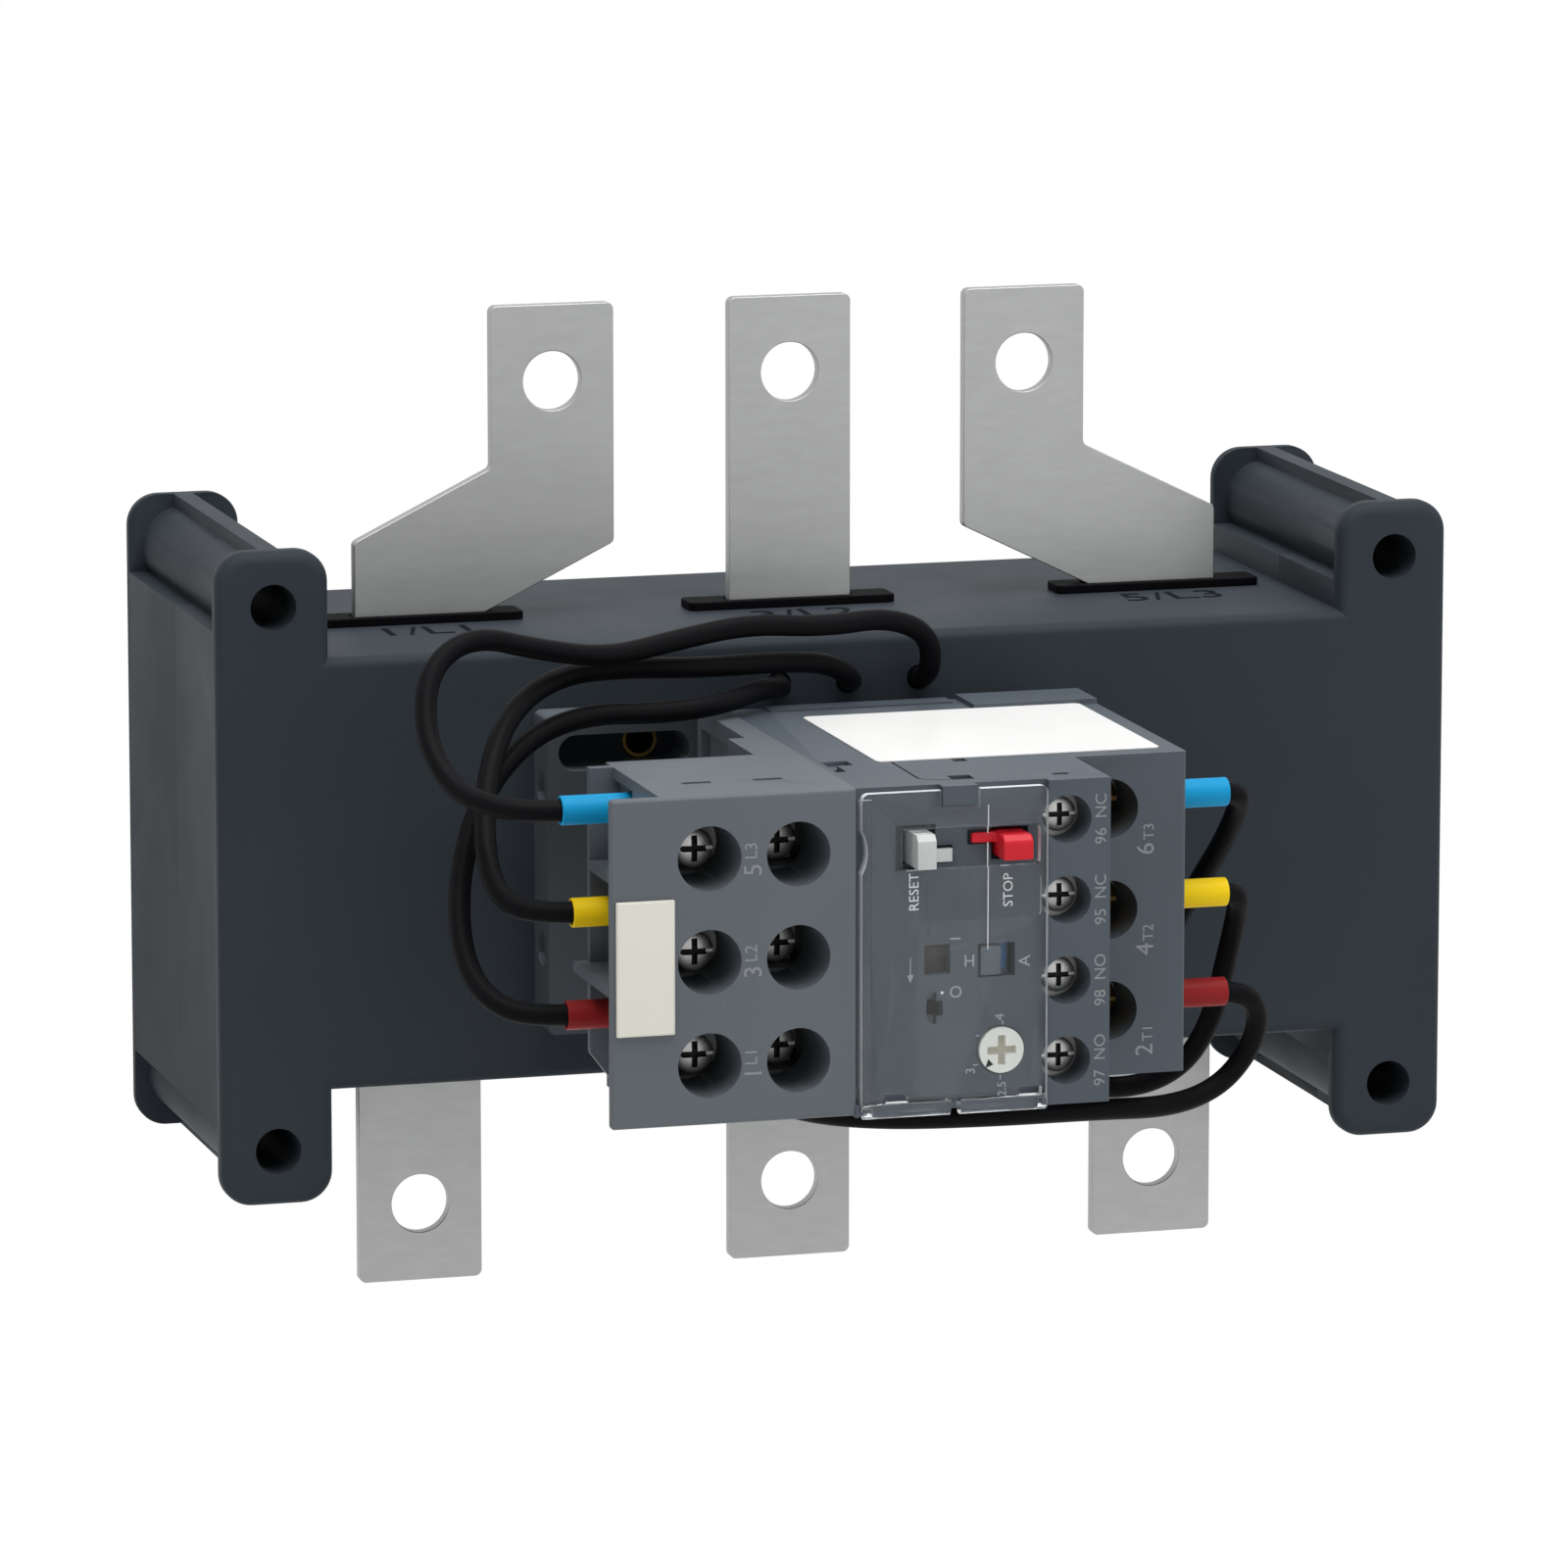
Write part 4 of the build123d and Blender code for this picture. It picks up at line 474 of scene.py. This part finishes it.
def clear(name):
    """Clear moulded plastic of the cover."""
    finish, tree, bsdf = shader(name)
    bsdf.inputs["Base Color"].default_value = (0.93, 0.95, 0.96, 1)
    bsdf.inputs["Transmission Weight"].default_value = 1.0
    bsdf.inputs["IOR"].default_value = 1.3
    bsdf.inputs["Roughness"].default_value = 0.0
    return finish


FINISHES = {}


def build_finishes():
    """Make every finish from the colours in the panel."""
    look = bpy.context.scene.relay_finishes
    block, adapter, casing, bar, ink = (
        tuple(colour) for colour in (look.block_colour, look.adapter_colour, look.casing_colour,
                                     look.bar_colour, look.print_colour))
    # painted shade: the plate's material is the adapter's plastic at half brightness
    plate = tuple(channel * 0.5 for channel in adapter)
    grain = look.grain
    black = (0.004, 0.004, 0.005)
    even = (1, 1, 1)
    along = (0.1, 1, 1)

    def add(maker, name, *values, **more):
        FINISHES[name] = maker(name, *values, **more)

    add(moulded, "block_plastic", block, grain, (0.48, 0.60), shine=0.07)
    add(moulded, "adapter_plastic", adapter, grain, (0.38, 0.48), 0.00001, shine=0.22)
    # painted shade on the plate behind the adapter's column
    add(moulded, "plate_plastic", plate, grain, (0.5, 0.6), shine=0.12)
    add(moulded, "relay_plastic", casing, grain, (0.42, 0.52), 0.000003, 0.04, 0.38)
    add(moulded, "black_plastic", black, grain, (0.6, 0.7), shine=0.02)
    add(metal, "tinned_copper", bar, (0.3, 1, 1), (0.4, 0.48), 0.000003, 0.03)
    add(metal, "brass", (0.30, 0.19, 0.06), even, (0.3, 0.42), scale=400.0)
    add(metal, "zinc_steel", (0.45, 0.45, 0.44), even, (0.34, 0.46), scale=500.0)
    add(metal, "spring_steel", (0.38, 0.38, 0.38), even, (0.25, 0.35))
    add(metal, "core_steel", (0.20, 0.21, 0.22), (1, 1, 9), (0.35, 0.5))
    add(moulded, "winding", (0.36, 0.13, 0.04), 0.0003, (0.25, 0.4), 0.0001)
    add(metal, "bimetal", (0.40, 0.36, 0.31), along)
    add(metal, "heater_ribbon", (0.26, 0.24, 0.23), even)
    add(moulded, "marker_white", (0.72, 0.705, 0.625), grain, (0.4, 0.5), vary=0.015)
    add(moulded, "label_white", (0.85, 0.85, 0.84), 0.0004, (0.3, 0.4), 0.000004, 0.01)
    add(clear, "clear_plastic")
    # painted highlight on the cover's top rim and side edges
    add(flat, "clear_edge", (0.74, 0.77, 0.79), (0.25, 0.4), 0.05)
    add(glossy, "button_white", (0.52, 0.55, 0.54))
    add(glossy, "button_red", (0.58, 0.010, 0.021))
    add(moulded, "selector_grey", (0.085, 0.11, 0.13), grain)
    add(glossy, "insert_blue", (0.03, 0.12, 0.28))
    add(moulded, "dial_cream", (0.84, 0.83, 0.77), grain, (0.4, 0.5), vary=0.015)
    add(moulded, "flag_brown", (0.040, 0.028, 0.026), grain)
    add(moulded, "nylon_natural", (0.60, 0.57, 0.47), grain)
    add(metal, "contact_silver", (0.52, 0.52, 0.50), along)
    add(moulded, "lead_black", black, 0.0009, (0.44, 0.54), 0.00001, shine=0.05)
    add(glossy, "ferrule_blue", (0.008, 0.29, 0.57), (0.36, 0.46), 0.1)
    add(glossy, "ferrule_yellow", (0.88, 0.60, 0.009), (0.36, 0.46), 0.1)
    add(glossy, "ferrule_red", (0.26, 0.016, 0.017), (0.36, 0.46), 0.1)
    # pale print for the words by the buttons, also used as a painted highlight on the cover's
    # crease
    add(flat, "bright_print", (0.86, 0.87, 0.87), (0.4, 0.5), 0.01)
    add(flat, "face_print", (0.36, 0.38, 0.39))
    add(flat, "print", ink)
    # painted shade on the floor of the dial's cross slot
    add(moulded, "dial_shade", (0.46, 0.42, 0.34), grain, (0.4, 0.5))
    # painted shade in the screws' cross recesses
    add(moulded, "recess_shade", (0.022, 0.021, 0.019), 0.0008, (0.5, 0.6), shine=0.15)
    add(moulded, "dark_mark", (0.006, 0.008, 0.010), grain, (0.6, 0.7), shine=0.02)


def slot_of(node):
    """The record's material slot of a CAD node."""
    return next(s["material_slot"] for s in frame["record"]["subparts"] if s["node"] == node)


def finish_of(node):
    """The finish of a CAD node: its slot's, or the adapter's own lighter plastic."""
    if node in ("adapter_base", "adapter_terminal_block"):
        return FINISHES["adapter_plastic"]
    return FINISHES[slot_of(node)]


def body_of(node):
    """The body that carries a CAD node."""
    groups = frame["record"]["behaviour"]["bodies"]
    return next(body for body, nodes in groups.items() if node in nodes)


class RELAY_OT_camera(bpy.types.Operator):
    """Set the camera at the photograph's viewing angle"""

    bl_idname = "relay.camera"
    bl_label = "Camera"

    def execute(self, context):
        lens = bpy.data.cameras.new("photo_camera")
        lens.sensor_width = 36.0
        lens.lens = CAMERA_LENS
        lens.clip_start = 0.1
        lens.clip_end = 20.0
        camera = bpy.data.objects.new("photo_camera", lens)
        context.scene.collection.objects.link(camera)
        camera.location = point(CAMERA_PLACE)
        camera.rotation_euler = (math.radians(90 - CAMERA_DOWN), 0.0, math.radians(-CAMERA_RIGHT))
        context.scene.camera = camera
        return {"FINISHED"}


class RELAY_OT_leads(bpy.types.Operator):
    """Lay the six leads along their routes"""

    bl_idname = "relay.leads"
    bl_label = "Leads"

    def execute(self, context):
        for node, (length, route) in LEAD_ROUTES.items():
            curve = bpy.data.curves.new(node + "_curve", "CURVE")
            curve.dimensions = "3D"
            curve.bevel_depth = LEAD_RADIUS * MM
            curve.bevel_resolution = 7
            curve.resolution_u = 14
            curve.use_fill_caps = True
            spline = curve.splines.new("NURBS")
            spline.points.add(len(route) - 1)
            for knot, spot in zip(spline.points, route):
                knot.co = (*point(spot), 1)
            spline.order_u = 3
            spline.use_endpoint_u = True
            lead = bpy.data.objects.new(node + "_flex", curve)
            context.scene.collection.objects.link(lead)
            place(lead, "block", FINISHES["lead_black"], "lead_black", node)
        return {"FINISHED"}


class RELAY_OT_finishes(bpy.types.Operator):
    """Give every carried-over piece its finish"""

    bl_idname = "relay.finishes"
    bl_label = "Finishes"

    def execute(self, context):
        for node, piece in frame["nodes"].items():
            assign(piece, finish_of(node))
        return {"FINISHED"}


class RELAY_OT_mouldings(bpy.types.Operator):
    """Round the edges of the moulded and stamped pieces"""

    bl_idname = "relay.mouldings"
    bl_label = "Mouldings"

    def execute(self, context):
        for node, width in EDGE_WIDTHS.items():
            piece = softened(node, node + "_form", width)
            place(piece, body_of(node), finish_of(node), slot_of(node), node)
            # the cover's rim gets a painted highlight, the adapter's plate painted shade
            if node == "clear_cover":
                self.paint_cover_edge_highlight(piece)
            elif node == "adapter_base":
                self.paint_plate_shade(piece)
        return {"FINISHED"}

    def paint_plate_shade(self, base):
        """Paint shade on the plate behind the adapter's column with its plastic at half
        brightness.
        """
        base.data.materials.append(FINISHES["plate_plastic"])
        for polygon in base.data.polygons:
            if polygon.center.y > PLATE_FRONT * MM and polygon.normal.z < PLATE_TOP:
                polygon.material_index = 1

    def paint_cover_edge_highlight(self, cover):
        """Paint a highlight on the cover's outer edges with a pale opaque material, for light
        caught in clear plastic.
        """
        cover.data.materials.append(FINISHES["clear_edge"])
        places = [vertex.co for vertex in cover.data.vertices]
        low, high = (Vector(map(side, *places)) for side in (min, max))
        for polygon in cover.data.polygons:
            facing, spot = polygon.normal, polygon.center
            at_top = facing.z > RIM_TURN and spot.z > high.z - RIM_HEIGHT * MM
            reach = min(spot.x - low.x, high.x - spot.x)
            if at_top or (abs(facing.x) > RIM_TURN and reach < RIM_WIDTH * MM):
                polygon.material_index = 1


def screw_tree(name):
    """Geometry nodes for a column of alike screws: domed crown, collar, cross recess and shank."""
    tree = bpy.data.node_groups.new(name, "GeometryNodeTree")
    side = tree.interface
    for label, default in (
            ("Count", 3), ("Pitch", 0.014), ("Head Radius", 0.00275), ("Head Height", 0.0026),
            ("Cross Width", 0.0008), ("Shank Radius", 0.00175), ("Shank Length", 0.008)):
        kind = "NodeSocketInt" if label == "Count" else "NodeSocketFloat"
        socket = side.new_socket(label, in_out="INPUT", socket_type=kind)
        socket.default_value = default
    side.new_socket("Finish", in_out="INPUT", socket_type="NodeSocketMaterial")
    side.new_socket("Geometry", in_out="OUTPUT", socket_type="NodeSocketGeometry")
    given = tree.nodes.new("NodeGroupInput").outputs
    result = tree.nodes.new("NodeGroupOutput")

    def feed(socket, value):
        if isinstance(value, (int, float)):
            socket.default_value = value
        else:
            tree.links.new(value, socket)

    def made(kind, operation=None, **values):
        node = tree.nodes.new(kind)
        if operation:
            node.operation = operation
        for label, value in values.items():
            feed(node.inputs[label], value)
        return node

    def maths(operation, first, second):
        node = made("ShaderNodeMath", operation)
        feed(node.inputs[0], first)
        feed(node.inputs[1], second)
        return node.outputs[0]

    def times(value, share):
        return maths("MULTIPLY", value, share)

    def vector(x=0.0, y=0.0, z=0.0):
        return made("ShaderNodeCombineXYZ", X=x, Y=y, Z=z).outputs[0]

    def cylinder(radius, depth, faces):
        return made("GeometryNodeMeshCylinder", Vertices=faces, Radius=radius,
                    Depth=depth).outputs["Mesh"]

    def moved(mesh, offset):
        return made("GeometryNodeTransform", Geometry=mesh, Translation=offset).outputs[0]

    def block(x, y, z):
        return made("GeometryNodeMeshCube", Size=vector(x, y, z)).outputs["Mesh"]

    radius = given["Head Radius"]
    height = given["Head Height"]
    length = given["Shank Length"]
    narrow = given["Cross Width"]

    dome = made("GeometryNodeMeshUVSphere", Segments=40, Rings=16, Radius=1.0)
    squashed = made("GeometryNodeTransform", Geometry=dome.outputs["Mesh"],
                    Scale=vector(radius, radius, times(height, CROWN)))
    crown = moved(squashed.outputs[0], vector(z=times(height, -CROWN)))
    collar = moved(cylinder(times(radius, COLLAR_RADIUS), times(height, COLLAR_HEIGHT), 36),
                   vector(z=times(height, COLLAR_MIDDLE)))
    union = made("GeometryNodeMeshBoolean", "UNION")
    for mesh in (crown, collar):
        tree.links.new(mesh, union.inputs["Mesh 2"])

    reach = times(radius, CROSS_REACH)
    deep = times(height, CROSS_HEIGHT)
    cut = made("GeometryNodeMeshBoolean", "DIFFERENCE")
    tree.links.new(union.outputs["Mesh"], cut.inputs["Mesh 1"])
    for mesh in (block(reach, narrow, deep), block(narrow, reach, times(deep, SECOND_ARM)),
                 block(times(radius, SLOT_REACH), times(narrow, SLOT_WIDTH),
                       times(height, SLOT_HEIGHT))):
        tree.links.new(mesh, cut.inputs["Mesh 2"])

    shank = moved(cylinder(given["Shank Radius"], length, 20),
                  vector(z=maths("SUBTRACT", times(length, -0.5), height)))
    both = made("GeometryNodeJoinGeometry")
    for mesh in (cut.outputs["Mesh"], shank):
        tree.links.new(mesh, both.inputs[0])
    turned = made("GeometryNodeTransform", Geometry=both.outputs[0])
    turned.inputs["Rotation"].default_value = (math.radians(90), 0, 0)

    line = made("GeometryNodeMeshLine", Count=given["Count"],
                Offset=vector(z=times(given["Pitch"], -1)))
    copies = made("GeometryNodeInstanceOnPoints", Points=line.outputs["Mesh"],
                  Instance=turned.outputs[0])
    real = made("GeometryNodeRealizeInstances", Geometry=copies.outputs[0])
    coat = made("GeometryNodeSetMaterial", Geometry=real.outputs[0], Material=given["Finish"])
    tree.links.new(coat.outputs[0], result.inputs[0])
    return tree


def screw_column(name, spot, values, finish):
    """Run the screw nodes at a place and keep the result as a plain mesh."""
    tree = bpy.data.node_groups.get("terminal_screws") or screw_tree("terminal_screws")
    holder = add_mesh(name + "_nodes", bpy.data.meshes.new(name + "_nodes"))
    modifier = holder.modifiers.new("screws", "NODES")
    modifier.node_group = tree
    sockets = {s.name: s.identifier for s in tree.interface.items_tree if s.in_out == "INPUT"}
    for label, value in values.items():
        modifier[sockets[label]] = value
    modifier[sockets["Finish"]] = finish
    holder.location = spot
    bpy.context.view_layer.update()
    matrix = holder.matrix_world.copy()
    piece = settle(name, holder)
    piece.data.transform(matrix)
    smooth(piece.data, SCREW_SHARP)
    return piece


def merged(name, pieces):
    """Join several plain meshes into one piece."""
    form = bmesh.new()
    for piece in pieces:
        form.from_mesh(piece.data)
        mesh = piece.data
        bpy.data.objects.remove(piece)
        bpy.data.meshes.remove(mesh)
    mesh = bpy.data.meshes.new(name)
    form.to_mesh(mesh)
    form.free()
    return add_mesh(name, mesh)


class RELAY_OT_screws(bpy.types.Operator):
    """Fit the terminal screws with their slotted cross recesses"""

    bl_idname = "relay.screws"
    bl_label = "Screws"

    def execute(self, context):
        sizes = context.scene.relay_screws
        for node, top, count, pitch, setting, head, shank, length, slot in SCREW_COLUMNS:
            radius = getattr(sizes, setting)
            piece = screw_column(node + "_heads", point(top), {
                "Count": count, "Pitch": pitch * MM, "Head Radius": radius,
                "Head Height": head * MM, "Cross Width": radius * sizes.cross_width,
                "Shank Radius": shank * MM, "Shank Length": length * MM}, FINISHES[slot])
            place(piece, "block", FINISHES[slot], slot, node)
            self.darken_recess(piece, point(top), pitch * MM, radius, head * MM)
        return {"FINISHED"}

    def darken_recess(self, column, top, pitch, radius, head):
        """Paint shade on the walls and floors of the cross recesses with a near-black material."""
        column.data.materials.append(FINISHES["recess_shade"])
        for polygon in column.data.polygons:
            centre = polygon.center
            axis = top.z - round((top.z - centre.z) / pitch) * pitch
            reach = math.hypot(centre.x - top.x, centre.z - axis)
            depth = centre.y - top.y
            inside = (reach < RECESS_REACH * radius
                      and RECESS_FROM * head < depth < RECESS_TO * head)
            is_wall = abs(polygon.normal.y) < RECESS_WALL
            if inside and (is_wall or depth > RECESS_FLOOR * head):
                polygon.material_index = 1


class RELAY_OT_spring(bpy.types.Operator):
    """Copy the return spring into a piece with a mesh of its own"""

    bl_idname = "relay.spring"
    bl_label = "Return spring"

    def execute(self, context):
        node, joint = "reset_spring", "reset_press"
        piece = add_mesh(node + "_form", frame["nodes"][node].data.copy())
        place(piece, body_of(node), finish_of(node), slot_of(node), node)
        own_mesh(piece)
        return {"FINISHED"}


def word_mesh(text, height, depth):
    """A word as a flat solid mesh, centred, with capitals of the given height."""
    letters = bpy.data.curves.new("word", "FONT")
    letters.body = text
    letters.size = height / CAPITAL_SHARE
    letters.align_x = "CENTER"
    letters.align_y = "CENTER"
    letters.extrude = depth / 2
    letters.resolution_u = 3
    holder = bpy.data.objects.new("word", letters)
    bpy.context.scene.collection.objects.link(holder)
    return settle("word", holder)


def set_word(text, height, depth, spot, reading, upward):
    """Lay a word on a surface: reading direction, upward direction, and the face they share."""
    piece = word_mesh(text, height, depth)
    facing = reading.cross(upward)
    turn = Matrix((reading, upward, facing)).transposed().to_4x4()
    raised = spot + facing * (depth / 2)
    piece.data.transform(Matrix.Translation(raised) @ turn)
    return piece


def words_on_front(rows, depth):
    """Words printed on faces that look forwards."""
    made = []
    for text, height, spot, upright in rows:
        reading = TOP if upright else RIGHT
        upward = -RIGHT if upright else TOP
        made.append(set_word(text, height * MM, depth, point(spot), reading, upward))
    return made


def bar_mesh(low, high):
    """A thin box between two corners in millimetres."""
    form = bmesh.new()
    bmesh.ops.create_cube(form, size=1.0)
    low, high = point(low), point(high)
    for vertex in form.verts:
        vertex.co = Vector(
            (low[i] + (high[i] - low[i]) * (vertex.co[i] + 0.5)) for i in range(3))
    mesh = bpy.data.meshes.new("bar")
    form.to_mesh(mesh)
    form.free()
    return add_mesh("bar", mesh)


def flat_mark(corners, face, depth):
    """A thin flat shape in front of a face, from its corners (x, z) in millimetres."""
    form = bmesh.new()
    front = [form.verts.new(point((x, face - depth, z))) for x, z in corners]
    back = [form.verts.new(point((x, face, z))) for x, z in corners]
    form.faces.new(front)
    form.faces.new(back[::-1])
    for index in range(len(corners)):
        after = (index + 1) % len(corners)
        form.faces.new((front[after], front[index], back[index], back[after]))
    bmesh.ops.recalc_face_normals(form, faces=form.faces)
    mesh = bpy.data.meshes.new("mark")
    form.to_mesh(mesh)
    form.free()
    return add_mesh("mark", mesh)


class RELAY_OT_markings(bpy.types.Operator):
    """Print the terminal numbers and the words by the controls"""

    bl_idname = "relay.markings"
    bl_label = "Markings"

    def execute(self, context):
        sizes = context.scene.relay_markings
        self.print_words(sizes.print_depth)
        self.mark_moving()
        words = [set_word(text, sizes.moulded_height, sizes.print_depth * 2, point(spot), RIGHT,
                          -FRONT)
                 for text, spot in BLOCK_WORDS]
        self.put("block_words", words, "block", "dark_mark", "block_plastic")
        return {"FINISHED"}

    def put(self, name, marks, body, finish, slot):
        """Join the marks of one kind into a piece and place it."""
        place(merged(name, marks), body, FINISHES[finish], slot)

    def print_words(self, depth):
        """Print the words and marks that stay in their place."""
        self.put("casing_words", words_on_front(FRONT_WORDS, depth), "block", "print",
                 "marker_white")
        for name, words, lines, arrows, finish in (
                ("face_words", FACE_WORDS, FACE_LINES, (), "bright_print"),
                ("dial_words", DIAL_WORDS, DIAL_LINES, (FACE_ARROW,), "face_print")):
            marks = words_on_front(words, depth)
            for (left, low), (right, high) in lines:
                marks.append(bar_mesh((left, RELAY_FACE - MARK_DEPTH, low),
                                      (right, RELAY_FACE, high)))
            for arrow in arrows:
                marks.append(flat_mark(arrow, RELAY_FACE, MARK_DEPTH))
            self.put(name, marks, "block", finish, "marker_white")

    def mark_moving(self):
        """Put the marks that move with the cover and the dial: a painted highlight on the cover's
        crease, the dial's arrow, and painted shade in the dial's cross slot.
        """
        self.put("cover_crease", [bar_mesh(*COVER_CREASE_HIGHLIGHT)], body_of("clear_cover"),
                 "bright_print", "marker_white")
        dial = body_of("setting_dial")
        dial_front = min(v.co.y for v in frame["nodes"]["setting_dial"].data.vertices) / MM
        self.put("dial_arrow", [flat_mark(DIAL_ARROW, dial_front, MARK_DEPTH)], dial,
                 "dark_mark", "dial_cream")
        # painted shade: darker bars on the floor of the dial's cross slot
        slot_shades = []
        for layer, ((left, low), (right, high)) in enumerate(DIAL_SLOT_SHADES, 1):
            slot_shades.append(bar_mesh((left, DIAL_SLOT_FLOOR - MARK_DEPTH * layer, low),
                                  (right, DIAL_SLOT_FLOOR, high)))
        self.put("dial_slots", slot_shades, dial, "dial_shade", "dial_cream")


class RELAY_OT_stage(bpy.types.Operator):
    """Set the floor, the lamps and the white backdrop"""

    bl_idname = "relay.stage"
    bl_label = "Stage"

    def execute(self, context):
        light = context.scene.relay_stage
        scene = context.scene
        scene.view_settings.view_transform = "Standard"
        form = bmesh.new()
        bmesh.ops.create_grid(form, x_segments=8, y_segments=8, size=FLOOR_REACH)
        mesh = bpy.data.meshes.new("floor")
        form.to_mesh(mesh)
        form.free()
        floor = add_mesh("floor", mesh)
        floor.location.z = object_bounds()[0].z - FLOOR_GAP
        finish, tree, bsdf = shader("floor_paper")
        bsdf.inputs["Base Color"].default_value = (0.9, 0.9, 0.9, 1)
        bsdf.inputs["Roughness"].default_value = 0.9
        self.show_white(tree, bsdf.outputs["BSDF"],
                        tree.nodes["Material Output"].inputs["Surface"], "ShaderNodeEmission")
        assign(floor, finish)
        floor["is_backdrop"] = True
        world = bpy.data.worlds.new("soft_sky")
        scene.world = world
        world.use_nodes = True
        sky = world.node_tree.nodes["Background"]
        sky.inputs["Color"].default_value = (1, 1, 1, 1)
        sky.inputs["Strength"].default_value = light.sky
        self.show_white(world.node_tree, sky.outputs[0],
                        world.node_tree.nodes["World Output"].inputs["Surface"],
                        "ShaderNodeBackground")
        for name, spot, size, setting in LAMPS:
            lamp = bpy.data.lights.new(name, "AREA")
            lamp.size = size
            lamp.energy = getattr(light, setting)
            holder = bpy.data.objects.new(name, lamp)
            scene.collection.objects.link(holder)
            holder.location = point(spot)
            aim = point(LAMP_TARGET) - holder.location
            holder.rotation_euler = aim.to_track_quat("-Z", "Y").to_euler()
        return {"FINISHED"}

    def show_white(self, tree, lit, target, kind):
        """Show plain white to the camera, to gloss and through glass, and else the lit one."""
        path = tree.nodes.new("ShaderNodeLightPath")
        seen = path.outputs["Is Camera Ray"]
        for ray in ("Is Transmission Ray", "Is Glossy Ray"):
            either = tree.nodes.new("ShaderNodeMath")
            either.operation = "MAXIMUM"
            tree.links.new(seen, either.inputs[0])
            tree.links.new(path.outputs[ray], either.inputs[1])
            seen = either.outputs[0]
        white = tree.nodes.new(kind)
        white.inputs["Color"].default_value = (1, 1, 1, 1)
        white.inputs["Strength"].default_value = 1.0
        mix = tree.nodes.new("ShaderNodeMixShader")
        tree.links.new(seen, mix.inputs[0])
        tree.links.new(lit, mix.inputs[1])
        tree.links.new(white.outputs[0], mix.inputs[2])
        tree.links.new(mix.outputs[0], target)


class RELAY_PT_panel(bpy.types.Panel):
    """Panel that lists the settings and the steps"""

    bl_label = "Overload Relay"
    bl_idname = "RELAY_PT_panel"
    bl_space_type = "VIEW_3D"
    bl_region_type = "UI"
    bl_category = "Relay"

    def draw(self, context):
        for group, title in (("relay_finishes", "Finishes"), ("relay_screws", "Screws"),
                             ("relay_markings", "Markings"), ("relay_stage", "Stage")):
            box = self.layout.box()
            box.label(text=title)
            settings = getattr(context.scene, group)
            for key in settings.bl_rna.properties.keys():
                if key not in ("rna_type", "name"):
                    box.prop(settings, key)
        for operator in OPERATORS:
            self.layout.operator(operator.bl_idname)


GROUPS = (("relay_finishes", RelayFinishes), ("relay_screws", RelayScrewSizes),
          ("relay_markings", RelayMarkings), ("relay_stage", RelayStageLight))
OPERATORS = (RELAY_OT_camera, RELAY_OT_leads, RELAY_OT_finishes, RELAY_OT_mouldings,
             RELAY_OT_screws, RELAY_OT_spring, RELAY_OT_markings, RELAY_OT_stage)


def register():
    for name, group in GROUPS:
        bpy.utils.register_class(group)
        setattr(bpy.types.Scene, name, bpy.props.PointerProperty(type=group))
    for operator in OPERATORS:
        bpy.utils.register_class(operator)
    bpy.utils.register_class(RELAY_PT_panel)


def unregister():
    bpy.utils.unregister_class(RELAY_PT_panel)
    for operator in reversed(OPERATORS):
        bpy.utils.unregister_class(operator)
    for name, group in reversed(GROUPS):
        delattr(bpy.types.Scene, name)
        bpy.utils.unregister_class(group)


def main():
    """Register the add-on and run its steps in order."""
    register()
    build_finishes()
    bpy.ops.relay.camera()
    bpy.ops.relay.leads()
    bpy.ops.relay.finishes()
    bpy.ops.relay.mouldings()
    bpy.ops.relay.screws()
    bpy.ops.relay.spring()
    bpy.ops.relay.markings()
    bpy.ops.relay.stage()


if __name__ == "__main__":
    main()
